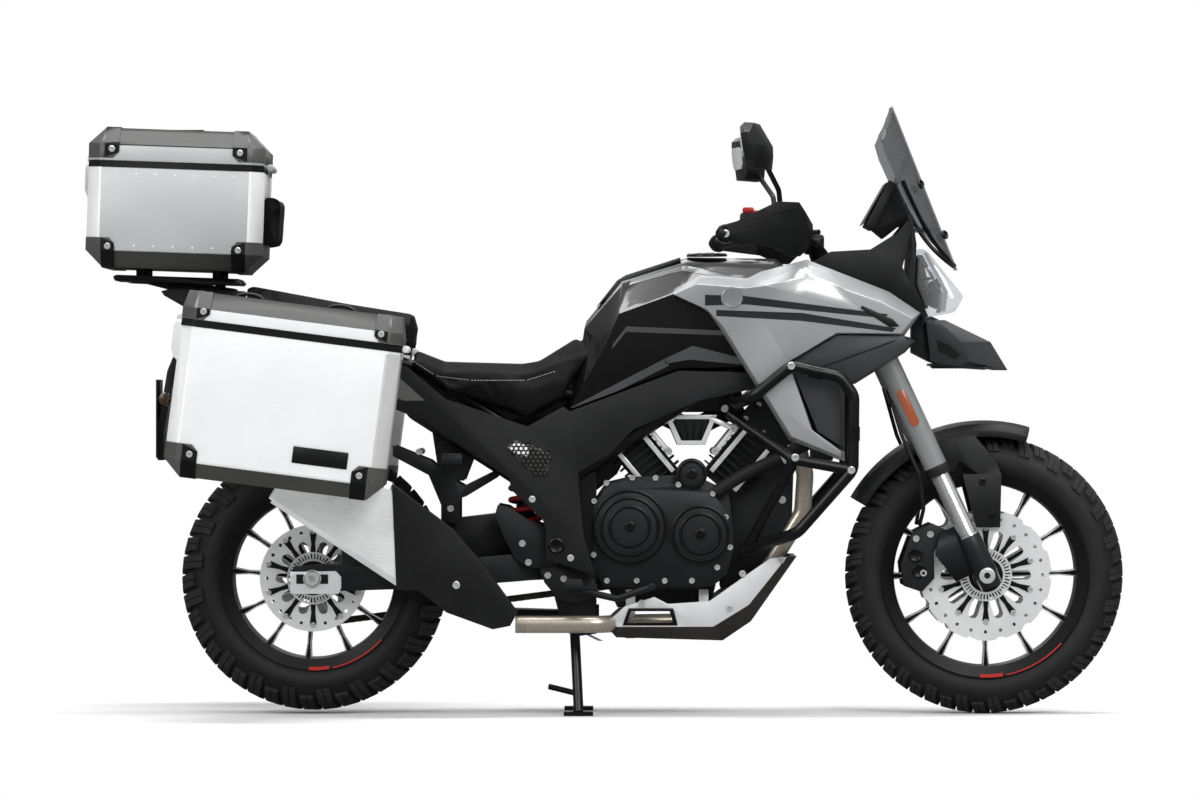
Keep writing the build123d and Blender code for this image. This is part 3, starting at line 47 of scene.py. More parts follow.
Piece = bpy.types.Object
Tree = bpy.types.NodeTree
Socket = bpy.types.NodeSocket
Point = Sequence[float]
Flat = tuple[float, float]
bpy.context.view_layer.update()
BODY_OF = {node: body for body, nodes in frame["record"]["behaviour"]["bodies"].items()
           for node in nodes}

MM = 0.001
# Distance in metres at which only points that are the same are merged.
EXACT = 0.000001
RIGHT = (0, -1, 0)
FRONT_AXLE = (898, 0, 325)
REAR_AXLE = (-667, 0, 318)
RAKE = math.radians(25)
FORK_OFFSET = 40.0
CRANK_AT = (214.5, 460.0)
CYLINDER_LEAN = 40.0
# Cloth simulation of the pads: pressure in the cover and frames that it runs for.
PAD_PRESSURE = 4.0
PAD_FRAMES = 20


# ------------------------------------------------------------------ finishes
def linear(code: str) -> tuple[float, float, float, float]:
    """Turn an sRGB hex colour to linear values.

    Args:
        code: Colour such as "7f8085".

    Returns:
        Red, green, blue and an alpha of 1.
    """
    parts = [int(code[i:i + 2], 16) / 255 for i in (0, 2, 4)]
    lit = [c / 12.92 if c <= 0.04045 else ((c + 0.055) / 1.055) ** 2.4 for c in parts]
    return (lit[0], lit[1], lit[2], 1.0)


def add_node(tree: Tree, kind: str, settings: dict | None = None,
             links: dict | None = None) -> bpy.types.Node:
    """Add a shader node with its settings and incoming links.

    Args:
        tree: Node tree of the material.
        kind: Blender's node type without "ShaderNode", such as "TexNoise".
        settings: Node attributes, or input values keyed by the input's name or number.
        links: Output sockets keyed by this node's input name or number.

    Returns:
        The new node.
    """
    node = tree.nodes.new("ShaderNode" + kind)
    for key, value in (settings or {}).items():
        if isinstance(key, int) or key in node.inputs:
            node.inputs[key].default_value = value
        else:
            setattr(node, key, value)
    for key, socket in (links or {}).items():
        tree.links.new(socket, node.inputs[key])
    return node


def new_material(name: str) -> tuple[bpy.types.Material, Tree]:
    """Make a material and return it with its emptied node tree."""
    made = bpy.data.materials.new(name)
    made.use_nodes = True
    made.node_tree.nodes.clear()
    return made, made.node_tree


class Grain(Enum):
    """How a finish's fine pattern runs over the piece."""

    EVEN = (1.0, 1.0, 1.0)
    BRUSHED_X = (0.02, 1.0, 1.0)
    BRUSHED_Z = (1.0, 1.0, 0.02)


@dataclass(frozen=True)
class Surface:
    """What a piece looks like it is made of: one material, shared by all its pieces."""

    name: str
    colour: str

    def material(self) -> bpy.types.Material:
        """Return the material, made when it is first asked for."""
        made = bpy.data.materials.get(self.name)
        if made:
            return made
        made, tree = new_material(self.name)
        place = add_node(tree, "TexCoord").outputs["Object"]
        add_node(tree, "OutputMaterial", {}, {"Surface": self.shade(tree, place)})
        made.diffuse_color = linear(self.colour)
        return made

    def shade(self, tree: Tree, place: Socket) -> Socket:
        """Add the surface's own nodes and return the shader's socket."""
        raise NotImplementedError


@dataclass(frozen=True)
class Finish(Surface):
    """A surface as its maker left it: colours, gloss and the grain that breaks them up.

    grain_mm is the size of one grain and bump_mm its height. rough_spread is how far the gloss
    varies from grain to grain, and cloud_mm the size of the broad, faint changes that dust and
    handling leave.
    """

    second: str
    metallic: float = 0.0
    roughness: float = 0.5
    rough_spread: float = 0.08
    grain_mm: float = 1.0
    bump_mm: float = 0.05
    cloud_mm: float = 120.0
    grain: Grain = Grain.EVEN
    coat: float = 0.0
    coat_roughness: float = 0.05
    ior: float = 1.5
    glow: float = 0.0

    def shade(self, tree: Tree, place: Socket) -> Socket:
        """Add a principled shader with two colours, gloss and bump driven by noise."""
        stretched = add_node(tree, "Mapping", {"Scale": self.grain.value}, {"Vector": place})
        fine = add_node(tree, "TexNoise", {"Scale": 1 / (self.grain_mm * MM), "Detail": 3.0},
                        {"Vector": stretched.outputs["Vector"]})
        cloud = add_node(tree, "TexNoise", {"Scale": 1 / (self.cloud_mm * MM), "Detail": 2.0},
                         {"Vector": place})
        blend = add_node(tree, "Math", {"operation": "MULTIPLY", "use_clamp": True},
                         {0: fine.outputs["Fac"], 1: cloud.outputs["Fac"]})
        shift = add_node(tree, "MapRange",
                         {"From Min": 0.12, "From Max": 0.38, "To Min": 0.0, "To Max": 1.0},
                         {"Value": blend.outputs[0]})
        colour = add_node(tree, "Mix",
                          {"data_type": "RGBA", 6: linear(self.colour), 7: linear(self.second)},
                          {0: shift.outputs["Result"]})
        rough = add_node(tree, "MapRange",
                         {"From Min": 0.3, "From Max": 0.7,
                          "To Min": max(0.02, self.roughness - self.rough_spread),
                          "To Max": min(1.0, self.roughness + self.rough_spread)},
                         {"Value": fine.outputs["Fac"]})
        bump = add_node(tree, "Bump", {"Strength": 0.6, "Distance": self.bump_mm * MM},
                        {"Height": fine.outputs["Fac"]})
        shader = add_node(tree, "BsdfPrincipled",
                          {"Metallic": self.metallic, "IOR": self.ior,
                           "Coat Weight": self.coat, "Coat Roughness": self.coat_roughness},
                          {"Base Color": colour.outputs[2], "Roughness": rough.outputs["Result"],
                           "Normal": bump.outputs["Normal"]})
        if self.glow:
            shader.inputs["Emission Color"].default_value = linear(self.colour)
            shader.inputs["Emission Strength"].default_value = self.glow
        return shader.outputs["BSDF"]


@dataclass(frozen=True)
class ClearFinish(Surface):
    """Polycarbonate or glass sheet, tinted through its thickness."""

    roughness: float = 0.03
    ior: float = 1.49
    clear: float = 0.8

    def shade(self, tree: Tree, place: Socket) -> Socket:
        """Add a tinted sheet that lets light through, with a gloss on top."""
        haze = add_node(tree, "TexNoise", {"Scale": 14.0, "Detail": 2.0}, {"Vector": place})
        rough = add_node(tree, "MapRange",
                         {"To Min": self.roughness, "To Max": self.roughness + 0.05},
                         {"Value": haze.outputs["Fac"]})
        through = add_node(tree, "BsdfTransparent", {"Color": linear(self.colour)})
        gloss = add_node(tree, "BsdfPrincipled",
                         {"Base Color": linear(self.colour), "IOR": self.ior, "Coat Weight": 0.4},
                         {"Roughness": rough.outputs["Result"]})
        mixed = add_node(tree, "MixShader", {0: 1 - self.clear},
                         {1: through.outputs[0], 2: gloss.outputs["BSDF"]})
        return mixed.outputs[0]


# Vulcanised rubber: dull black, slightly dusty on the raised parts.
TYRE_RUBBER = Finish("vulcanised_tyre_rubber", "0f0f10", "171718", 0.0, 0.7, 0.1, 1.2, 0.12, 60)
# Tread rubber: the same compound, scuffed and dustier on the running face.
TREAD_RUBBER = Finish("scuffed_tread_rubber", "161617", "222223", 0.0, 0.8, 0.1, 0.9, 0.15, 40)
# Powder-coated cast aluminium wheels: deep black, fine satin texture.
WHEEL_BLACK = Finish("powder_coated_wheel_black", "08080a", "0e0e10", 0.2, 0.3, 0.05, 0.8, 0.02)
# Diamond-turned spoke edges: bright bare aluminium.
MACHINED = Finish("machined_aluminium_edge", "eaebec", "dedfe1", 0.4, 0.3, 0.06, 0.5, 0.01)
# Ground stainless brake rotors: pale grey, fine circular grinding.
ROTOR_STEEL = Finish("ground_rotor_steel", "e2e3e3", "d2d3d4", 0.35, 0.38, 0.08, 0.6, 0.02)
# Cast aluminium, painted black: engine, swing arm, brackets and calipers.
BLACK_CAST = Finish("black_cast_aluminium", "17181a", "212325", 0.35, 0.44, 0.08, 1.4, 0.08)
# Darker machined black for raised rings of the covers.
BLACK_SATIN = Finish("black_satin_aluminium", "090a0b", "121315", 0.4, 0.33, 0.06, 0.8, 0.03)
# Hard anodised fork tubes: warm grey metal.
FORK_GREY = Finish("anodised_fork_grey", "969798", "8a8b8c", 0.4, 0.32, 0.05, 0.8, 0.01,
                   grain=Grain.BRUSHED_Z)
# Chromed lower fork tubes: bright and mirror-like.
CHROME = Finish("hard_chrome", "e6e7e7", "dcddde", 0.85, 0.14, 0.03, 1.0, 0.0)
# Zinc-plated bolts and stainless screws.
BOLT_STEEL = Finish("stainless_bolt", "dcdddd", "cacbcc", 0.6, 0.3, 0.08, 0.8, 0.02)
# Silver lacquer over plastic panels: metal flake under a clear coat.
SILVER_LACQUER = Finish("silver_flake_lacquer", "a9aaab", "9fa0a2", 0.45, 0.4, 0.05, 0.4, 0.0,
                        coat=0.3)
# Deep black lacquer of the tank under a hard clear coat.
TANK_BLACK = Finish("deep_black_tank_lacquer", "060607", "0a0a0c", 0.1, 0.26, 0.03, 0.5, 0.0,
                    coat=0.5, ior=1.35)
# Smoke grey metallic bands under the tank's clear coat.
BAND_GREY = Finish("smoke_grey_band_lacquer", "555657", "4b4c4d", 0.45, 0.34, 0.04, 0.4, 0.0,
                   coat=0.4)
# Pale grey lacquer of the round badges and the blank plate.
PALE_LACQUER = Finish("pale_grey_lacquer", "8e9092", "85878a", 0.2, 0.32, 0.04, 0.5, 0.0, coat=0.8)
# Painted highlight: brighter silver laid over the panels' upper facets, which face the light.
PAINTED_HIGHLIGHT_LACQUER = Finish("painted_highlight_silver_lacquer", "c4c6c8", "b9bbbd", 0.5, 0.3, 0.04, 0.4, 0.0,
                        coat=0.9)
# Dark grey stripes under the panels' clear coat.
STRIPE_GREY = Finish("dark_grey_stripe_lacquer", "232426", "2a2b2d", 0.3, 0.32, 0.04, 0.4, 0.0,
                     coat=0.8)
# Dark grey metallic lacquer of the beak.
GREY_LACQUER = Finish("dark_grey_metallic_lacquer", "292b2d", "313336", 0.4, 0.34, 0.05, 0.4, 0.0,
                      coat=0.7)
# Injection-moulded black ABS with a fine spark-eroded grain.
BLACK_ABS = Finish("grained_black_abs", "0e0f10", "17181a", 0.0, 0.5, 0.07, 0.7, 0.05, ior=1.38)
# Darker, shinier moulded plastic of guards and switch gear.
DARK_ABS = Finish("dark_moulded_plastic", "08090a", "101112", 0.0, 0.38, 0.06, 0.8, 0.04,
                  ior=1.4)
# Dark grey moulded plastic of the lower fairings and the tank's spine.
GREY_ABS = Finish("dark_grey_moulded_plastic", "2a2c2e", "323437", 0.1, 0.42, 0.06, 0.7, 0.04)
# Powder-coated steel tube: crash bars, frame and racks.
BLACK_TUBE = Finish("powder_coated_steel_tube", "08090a", "101112", 0.15, 0.34, 0.05, 1.1, 0.03)
# Brushed stainless sheet of the silencer.
BRUSHED_SHEET = Finish("brushed_stainless_sheet", "eceded", "cbcccd", 0.2, 0.42, 0.08, 0.7, 0.02,
                       grain=Grain.BRUSHED_X)
# Header pipes, straw and bronze from heat.
HEATED_STEEL = Finish("heat_tinted_stainless", "b5aa9a", "c9c1b4", 0.7, 0.3, 0.08, 1.0, 0.01, 60)
# Sheet aluminium of the cases, silver anodised.
CASE_SHEET = Finish("anodised_case_sheet", "c6c7c8", "bbbdbe", 0.35, 0.44, 0.06, 0.5, 0.02,
                    grain=Grain.BRUSHED_X)
# Pale anodised sheet of the side cases.
CASE_WHITE = Finish("pale_anodised_sheet", "e4e5e6", "dcddde", 0.15, 0.46, 0.06, 0.5, 0.02,
                    grain=Grain.BRUSHED_X)
# Bright rivets of the cases, and painted highlight over the cases' bevelled corners and behind the
# side covers' vent mesh.
CASE_BRIGHT_AND_HIGHLIGHT = Finish("bright_rivet_and_painted_highlight", "f0f0f0", "e6e7e7", 0.1, 0.4, 0.05, 0.5, 0.01)
# Grey metal accents under the tail.
CASE_TRIM = Finish("grey_anodised_extrusion", "6d6e6a", "62635f", 0.5, 0.4, 0.06, 0.6, 0.02)
# Painted shade: pale grey over the side cases' bevelled front corners, darker than the sheet around
# them.
CASE_EDGE_SHADE = Finish("pale_grey_painted_edge_shade", "c8c9c8", "bebfbe", 0.2, 0.42, 0.06, 0.6, 0.02)
# Painted shade: dark grey over the lids' top bevels.
LID_SHADE_GREY = Finish("painted_shade_lid_bevel", "262725", "20211f", 0.2, 0.45, 0.06, 0.6, 0.02)
# Olive grey of the vents' backs, and painted shade over the cases' lower bevels.
OLIVE_GREY_AND_SHADE = Finish("olive_grey_backing_and_painted_shade", "50514c", "464742", 0.45, 0.38, 0.06, 0.6, 0.02)
# Smoked nylon corner caps.
CAP_GREY = Finish("smoked_nylon_cap", "4c4d4a", "434441", 0.0, 0.4, 0.06, 0.8, 0.03)
# Bare sheet aluminium of the skid plate.
BARE_CAST = Finish("bare_cast_aluminium", "d9dadb", "cccdce", 0.4, 0.4, 0.08, 0.9, 0.04)
# Dark bronze-black lacquer of the skid plate's lower band.
BRONZE_BLACK = Finish("bronze_black_lacquer", "2b2825", "353130", 0.5, 0.32, 0.05, 0.6, 0.01,
                      coat=0.4)
# Polyurethane-coated seat cover: matt black with leather grain.
SEAT_VINYL = Finish("grained_seat_vinyl", "040405", "070708", 0.0, 0.66, 0.08, 1.6, 0.16, 90,
                    ior=1.26)
# Red paint, pale thread and the lamps' glass.
RED_PAINT = Finish("signal_red_paint", "b3221c", "a51f1a", 0.0, 0.4, 0.05, 1.0, 0.0)
PALE_THREAD = Finish("pale_grey_thread", "9b9b99", "8a8a88", 0.0, 0.8, 0.05, 0.6, 0.05)
AMBER_LENS = Finish("amber_reflector", "8c4529", "97502f", 0.0, 0.26, 0.04, 2.0, 0.02, coat=0.3)
SMOKED_AMBER = Finish("smoked_amber_lens", "3b2416", "33200f", 0.0, 0.2, 0.04, 2.0, 0.02, coat=0.6)
RED_LENS = Finish("red_tail_lens", "8e1216", "a3181b", 0.0, 0.2, 0.04, 2.0, 0.02, coat=0.6)
LAMP_WHITE = Finish("lit_lamp_white", "f2f7fb", "e9f1f8", 0.0, 0.3, 0.05, 2.0, 0.0, glow=0.8)
REFLECTOR = Finish("vacuum_coated_reflector", "d9dde0", "c9ced2", 1.0, 0.14, 0.04, 2.0, 0.0)
# Back-silvered mirror glass.
MIRROR_GLASS = Finish("silvered_mirror_glass", "eceeef", "e6e8e9", 0.3, 0.06, 0.02, 4.0, 0.0)
# Lightly oiled roller chain.
CHAIN_STEEL = Finish("oiled_chain_steel", "5e5a53", "3f3c38", 0.85, 0.42, 0.1, 2.0, 0.05, 30)
# Soft rubber of grips, hoses and bushes.
SOFT_RUBBER = Finish("soft_black_rubber", "0b0b0c", "131314", 0.0, 0.66, 0.08, 1.0, 0.08)
# Fine aluminium cooling fins, painted black.
CORE_BLACK = Finish("radiator_core_black", "0f1010", "191a1a", 0.4, 0.6, 0.1, 1.2, 0.1)
SCREEN_TINT = ClearFinish("smoked_polycarbonate", "b3b5b7", clear=0.86)
LENS_CLEAR = ClearFinish("clear_polycarbonate_lens", "e9ebed", clear=0.86)


# ------------------------------------------------------------------ modelling helpers
def to_metres(points: Iterable[Point]) -> list[Vector]:
    """Turn millimetre points to metre vectors."""
    return [Vector(point) * MM for point in points]


def clear_selection() -> None:
    """Leave edit mode and deselect everything."""
    if bpy.context.object and bpy.context.object.mode != "OBJECT":
        bpy.ops.object.mode_set(mode="OBJECT")
    bpy.ops.object.select_all(action="DESELECT")


def select_only(piece: Piece) -> None:
    """Make one piece the only selected one and the active one."""
    clear_selection()
    bpy.context.view_layer.objects.active = piece
    piece.select_set(True)


def edit_all(piece: Piece) -> None:
    """Enter edit mode on one piece with its whole mesh selected."""
    select_only(piece)
    bpy.ops.object.mode_set(mode="EDIT")
    bpy.ops.mesh.select_all(action="SELECT")


def finish_edit(piece: Piece, merge: float = 0.00002) -> Piece:
    """Merge doubles, turn faces outwards and leave edit mode.

    Args:
        piece: Object being edited.
        merge: Distance under which vertices merge, in metres.

    Returns:
        The same object.
    """
    edit_all(piece)
    bpy.ops.mesh.remove_doubles(threshold=merge)
    bpy.ops.mesh.normals_make_consistent(inside=False)
    bpy.ops.object.mode_set(mode="OBJECT")
    return piece


def apply_modifier(piece: Piece, kind: str, **settings: object) -> Piece:
    """Add a modifier with its settings and apply it.

    Args:
        piece: Object to change.
        kind: Blender's modifier type.
        settings: Modifier attributes.

    Returns:
        The same object.
    """
    select_only(piece)
    modifier = piece.modifiers.new(kind.title(), kind)
    for key, value in settings.items():
        setattr(modifier, key, value)
    bpy.ops.object.modifier_apply(modifier=modifier.name)
    return piece


def rounded(piece: Piece, width: float, segments: int = 2, angle: float = 30.0) -> Piece:
    """Round a piece's sharp edges.

    Args:
        piece: Object to change.
        width: Rounding in millimetres.
        segments: Facets across the rounding.
        angle: Edges sharper than this many degrees are rounded.

    Returns:
        The same object.
    """
    if width <= 0:
        return piece
    return apply_modifier(piece, "BEVEL", width=width * MM, segments=segments,
                          limit_method="ANGLE", angle_limit=math.radians(angle),
                          use_clamp_overlap=True, miter_outer="MITER_ARC")


def dress(piece: Piece, name: str, finish: Surface,
          body: str = "frame", smooth: float = 35.0) -> Piece:
    """Name a finished piece, give it its finish and fix it to its body.

    Args:
        piece: Finished object.
        name: Plain name.
        finish: Its surface.
        body: Frame body that carries it.
        smooth: Faces that meet under this many degrees are shaded smooth.

    Returns:
        The same object.
    """
    piece.name = name
    piece.data.name = name
    piece.data.materials.clear()
    piece.data.materials.append(finish.material())
    select_only(piece)
    bpy.ops.object.shade_smooth_by_angle(angle=math.radians(smooth))
    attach(piece, body)
    LOG.info("built %s on %s", name, body)
    return piece


def join(pieces: list[Piece]) -> Piece:
    """Join several meshes into the first one.

    Args:
        pieces: Objects to join, used up but for the first.

    Returns:
        The joined object.
    """
    clear_selection()
    for piece in pieces:
        piece.select_set(True)
    bpy.context.view_layer.objects.active = pieces[0]
    if len(pieces) > 1:
        bpy.ops.object.join()
    return pieces[0]


def flat_outline(points: Sequence[Point], fill: bool = True) -> Piece:
    """Ring of points in space, filled with one face or left open.

    Args:
        points: Corner points in millimetres, in order.
        fill: Whether the ring is a face.

    Returns:
        The new object.
    """
    clear_selection()
    bpy.ops.mesh.primitive_circle_add(vertices=len(points),
                                      fill_type="NGON" if fill else "NOTHING")
    ring = bpy.context.object
    for vertex, point in zip(ring.data.vertices, to_metres(points)):
        vertex.co = point
    return ring


def side_plate(points: Sequence[Flat], y_from: float, y_to: float,
               bevel: float = 1.0, segments: int = 2) -> Piece:
    """Side outline of (x, z) points given a thickness in y, with rounded edges.

    Args:
        points: Outline corners.
        y_from: One face's y.
        y_to: The other face's y.
        bevel: Edge rounding in millimetres.
        segments: Facets of the rounding.

    Returns:
        The new object.
    """
    plate = flat_outline([(x, y_from, z) for x, z in points])
    edit_all(plate)
    bpy.ops.mesh.extrude_region_move(
        TRANSFORM_OT_translate={"value": (0, (y_to - y_from) * MM, 0)})
    finish_edit(plate)
    return rounded(plate, bevel, segments)


def lofted(rings: Sequence[Sequence[Point]]) -> Piece:
    """Closed skin over rings that have the same number of points, with both ends filled.

    Args:
        rings: Rows of points in millimetres.

    Returns:
        The new object.
    """
    clear_selection()
    columns = len(rings[0])
    bpy.ops.mesh.primitive_grid_add(x_subdivisions=columns, y_subdivisions=len(rings) - 1)
    skin = bpy.context.object
    for row, ring in enumerate(rings):
        for column, point in enumerate(to_metres([*ring, ring[0]])):
            skin.data.vertices[row * (columns + 1) + column].co = point
    edit_all(skin)
    bpy.ops.mesh.remove_doubles(threshold=0.00001)
    bpy.ops.mesh.select_all(action="DESELECT")
    bpy.ops.mesh.select_mode(type="EDGE")
    bpy.ops.mesh.select_non_manifold()
    bpy.ops.mesh.edge_face_add()
    bpy.ops.mesh.select_mode(type="VERT")
    return finish_edit(skin)


def turned(rows: Sequence[Flat], centre: Point = (0, 0, 0), axis: Point = (0, 0, 1),
           steps: int = 48) -> Piece:
    """Solid turned on a lathe from (along, radius) rows.

    Args:
        rows: Closed profile: distance along the axis and radius, in millimetres.
        centre: Point on the axis where along is 0.
        axis: Direction of the axis.
        steps: Facets round the axis.

    Returns:
        The new object.
    """
    line = Vector(axis).normalized()
    across = line.orthogonal().normalized()
    base = Vector(centre)
    ring = flat_outline([base + line * a + across * max(r, 0.001) for a, r in rows], fill=False)
    edit_all(ring)
    bpy.ops.mesh.spin(steps=steps, angle=math.tau, center=base * MM, axis=line, dupli=False)
    return finish_edit(ring, 0.00004)


def bar(points: Sequence[Point], radius: float, facets: int,
        radii: Sequence[float] | None = None) -> Piece:
    """Round bar, hose or cable along a smooth route.

    Args:
        points: Route in millimetres.
        radius: Bar radius in millimetres.
        facets: Bevel resolution of the round section.
        radii: Optional share of the radius at each point.

    Returns:
        The new object.
    """
    data = bpy.data.curves.new("bar", "CURVE")
    data.dimensions = "3D"
    data.bevel_depth = radius * MM
    data.bevel_resolution = facets
    data.use_fill_caps = True
    spline = data.splines.new("NURBS")
    spline.points.add(len(points) - 1)
    for number, point in enumerate(to_metres(points)):
        spline.points[number].co = (*point, 1)
        spline.points[number].radius = radii[number] if radii else 1.0
    spline.order_u = 3
    spline.use_endpoint_u = True
    spline.resolution_u = 8
    curve = bpy.data.objects.new("bar", data)
    bpy.context.scene.collection.objects.link(curve)
    select_only(curve)
    bpy.ops.object.convert(target="MESH")
    return finish_edit(bpy.context.object)


def duplicate(piece: Piece) -> Piece:
    """Copy of a piece with its own mesh, put in the scene."""
    other = piece.copy()
    other.data = piece.data.copy()
    bpy.context.scene.collection.objects.link(other)
    return other


def copies(piece: Piece, places: Iterable[Matrix]) -> Piece:
    """Repeat a finished shape at several places, each copy with its own mesh, as one piece.

    Args:
        piece: Shape modelled once at the origin, used up by this call.
        places: One matrix for each copy, in metres.

    Returns:
        The joined copies.
    """
    made = []
    for place in places:
        copy = duplicate(piece)
        copy.data.transform(place)
        made.append(copy)
    bpy.data.objects.remove(piece)
    return join(made)


def mirrored(piece: Piece) -> Piece:
    """Add the other side of the bike to a piece, across the middle plane.

    Args:
        piece: Shape on one side of the bike.

    Returns:
        Both sides as one object.
    """
    other = duplicate(piece)
    other.data.transform(Matrix.Scale(-1, 4, (0, 1, 0)))
    other.data.flip_normals()
    return join([piece, other])


def cut(piece: Piece, cutter: Piece) -> Piece:
    """Cut one piece with another.

    Args:
        piece: Object to cut.
        cutter: Shape to take away, used up.

    Returns:
        The same piece.
    """
    apply_modifier(piece, "BOOLEAN", object=cutter, operation="DIFFERENCE", solver="EXACT",
                   use_hole_tolerant=True)
    bpy.data.objects.remove(cutter)
    return piece


def facing(point: Point, axis: Point, spin: float = 0.0) -> Matrix:
    """Place for a shape modelled at the origin along +Z.

    Args:
        point: Where its origin goes, in millimetres.
        axis: Where its +Z points.
        spin: Turn about that axis in degrees.

    Returns:
        The matrix in metres.
    """
    turn = Vector((0, 0, 1)).rotation_difference(Vector(axis).normalized()).to_matrix().to_4x4()
    spun = Matrix.Rotation(math.radians(spin), 4, "Z")
    return Matrix.Translation(Vector(point) * MM) @ turn @ spun


def paired(shape: Piece, point: Point, axis: Point) -> Piece:
    """Stand a shape modelled along +Z at a point and at its mirror point.

    Args:
        shape: Shape at the origin, used up.
        point: Spot on the left of the bike, in millimetres.
        axis: Where the left one's +Z points.

    Returns:
        Both as one object.
    """
    return copies(shape, [facing((point[0], side * point[1], point[2]),
                                 (axis[0], side * axis[1], axis[2])) for side in (-1, 1)])


def node_copy(node: str) -> Piece:
    """Free copy of a CAD node with its own mesh, shown even where the node is hidden.

    Args:
        node: CAD node's name.

    Returns:
        The copy.
    """
    piece = duplicate(frame["nodes"][node])
    piece.parent = None
    for key in list(piece.keys()):
        del piece[key]
    piece.hide_viewport = False
    piece.hide_render = False
    piece.hide_set(False)
    return piece


def softened(node: str, name: str, finish: Surface, width: float = 2.0, segments: int = 2) -> Piece:
    """Stand in for a CAD node with the same shape and rounded edges.

    Args:
        node: CAD node that the piece replaces.
        name: Plain name of the piece.
        finish: Its surface.
        width: Edge rounding in millimetres.
        segments: Facets of the rounding.

    Returns:
        The new object.
    """
    piece = node_copy(node)
    edit_all(piece)
    bpy.ops.mesh.remove_doubles(threshold=0.00002)
    bpy.ops.mesh.dissolve_limited(angle_limit=math.radians(0.6))
    bpy.ops.object.mode_set(mode="OBJECT")
    rounded(piece, width, segments)
    dress(piece, name, finish, BODY_OF[node])
    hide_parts(node)
    return piece


# ------------------------------------------------------------------ shared shapes
def screw(radius: float, height: float) -> Piece:
    """Socket-head screw at the origin, its head towards +Z."""
    return turned([(-1.5, 0), (-1.5, radius), (height * 0.7, radius), (height, radius * 0.82),
                   (height, radius * 0.52), (height * 0.4, radius * 0.46), (height * 0.4, 0)],
                  steps=14)


def screws(spots: Sequence[Point], axis: Point, radius: float, name: str, height: float = 0.0,
           body: str = "frame", finish: Finish = BOLT_STEEL,
           both: bool = False) -> Piece:
    """Screw heads at several spots on one side, or on both sides of the bike.

    Args:
        spots: Where each head sits, in millimetres.
        axis: Where the heads point.
        radius: Head radius.
        name: Plain name.
        height: Head height, a share of the radius when left out.
        body: Frame body that carries them.
        finish: Their surface.
        both: Whether the other side has them too.

    Returns:
        All heads as one piece.
    """
    heads = copies(screw(radius, height or radius * 0.6), [facing(spot, axis) for spot in spots])
    if both:
        heads = mirrored(heads)
    return dress(heads, name, finish, body)


def trimmed(piece: Piece, outline: Sequence[Flat]) -> Piece:
    """Keep only what lies behind a convex side outline, with the cuts closed.

    Args:
        piece: Object to trim.
        outline: Corners in (x, z), in order.

    Returns:
        The same object.
    """
    middle = Vector((sum(x for x, _ in outline), 0, sum(z for _, z in outline))) / len(outline)
    for (x0, z0), (x1, z1) in zip(outline, list(outline[1:]) + [outline[0]]):
        edge = Vector((x0, 0, z0))
        out = Vector((z1 - z0, 0, x0 - x1)).normalized()
        if out.dot(middle - edge) > 0:
            out = -out
        edit_all(piece)
        bpy.ops.mesh.bisect(plane_co=edge * MM, plane_no=out, use_fill=True, clear_outer=True)
    return finish_edit(piece)


def skin_of(node: str, outline: Sequence[Flat], grow: float) -> Piece:
    """Layer on a CAD node's surface, wherever a convex side outline covers it.

    Args:
        node: CAD node under the layer.
        outline: (x, z) points seen from the side.
        grow: How far the layer stands off the node, in millimetres.

    Returns:
        The new object.
    """
    layer = finish_edit(node_copy(node))
    apply_modifier(layer, "DISPLACE", strength=grow * MM, mid_level=0.0)
    return trimmed(layer, outline)


def arc_strip(centre: Point, inner: float, outer: float, y_from: float, y_to: float,
              start: float, stop: float, steps: int) -> Piece:
    """Flat curved strip about an axle.

    Args:
        centre: Axle's centre in millimetres.
        inner: Inner radius.
        outer: Outer radius.
        y_from: One face's y.
        y_to: The other face's y.
        start: Angle of its start in degrees, upwards from straight ahead.
        stop: Angle of its end.
        steps: Facets along it.

    Returns:
        The new object.
    """
    rings = []
    for step in range(steps + 1):
        angle = math.radians(start + (stop - start) * step / steps)
        rings.append([(centre[0] + r * math.cos(angle), y, centre[2] + r * math.sin(angle))
                      for r, y in ((inner, y_from), (outer, y_from), (outer, y_to), (inner, y_to))])
    return lofted(rings)


def rect(x0: float, z0: float, x1: float, z1: float) -> list[Flat]:
    """Corners of an upright rectangle seen from the side."""
    return [(x0, z0), (x1, z0), (x1, z1), (x0, z1)]


def box(low: Point, high: Point, bevel: float = 1.0) -> Piece:
    """Block with rounded edges between two corners."""
    return side_plate(rect(low[0], low[2], high[0], high[2]), low[1], high[1], bevel)


def round_axle(centre: Point, y: float, out: float, count: int, first: float = 0.0) -> list[Matrix]:
    """Places round an axle for a flat shape, to stand it on a wheel's face.

    Args:
        centre: Wheel centre.
        y: The face's y.
        out: -1 where the face looks right, 1 where it looks left.
        count: How many places.
        first: Angle of the first one in degrees.

    Returns:
        One matrix for each place.
    """
    stand = Matrix(((1, 0, 0, 0), (0, 0, out, 0), (0, 1, 0, 0), (0, 0, 0, 1)))
    middle = Matrix.Translation((Vector(centre) + Vector((0, y, 0))) * MM)
    return [middle @ Matrix.Rotation(math.radians(first + 360 * n / count), 4, "Y") @ stand
            for n in range(count)]


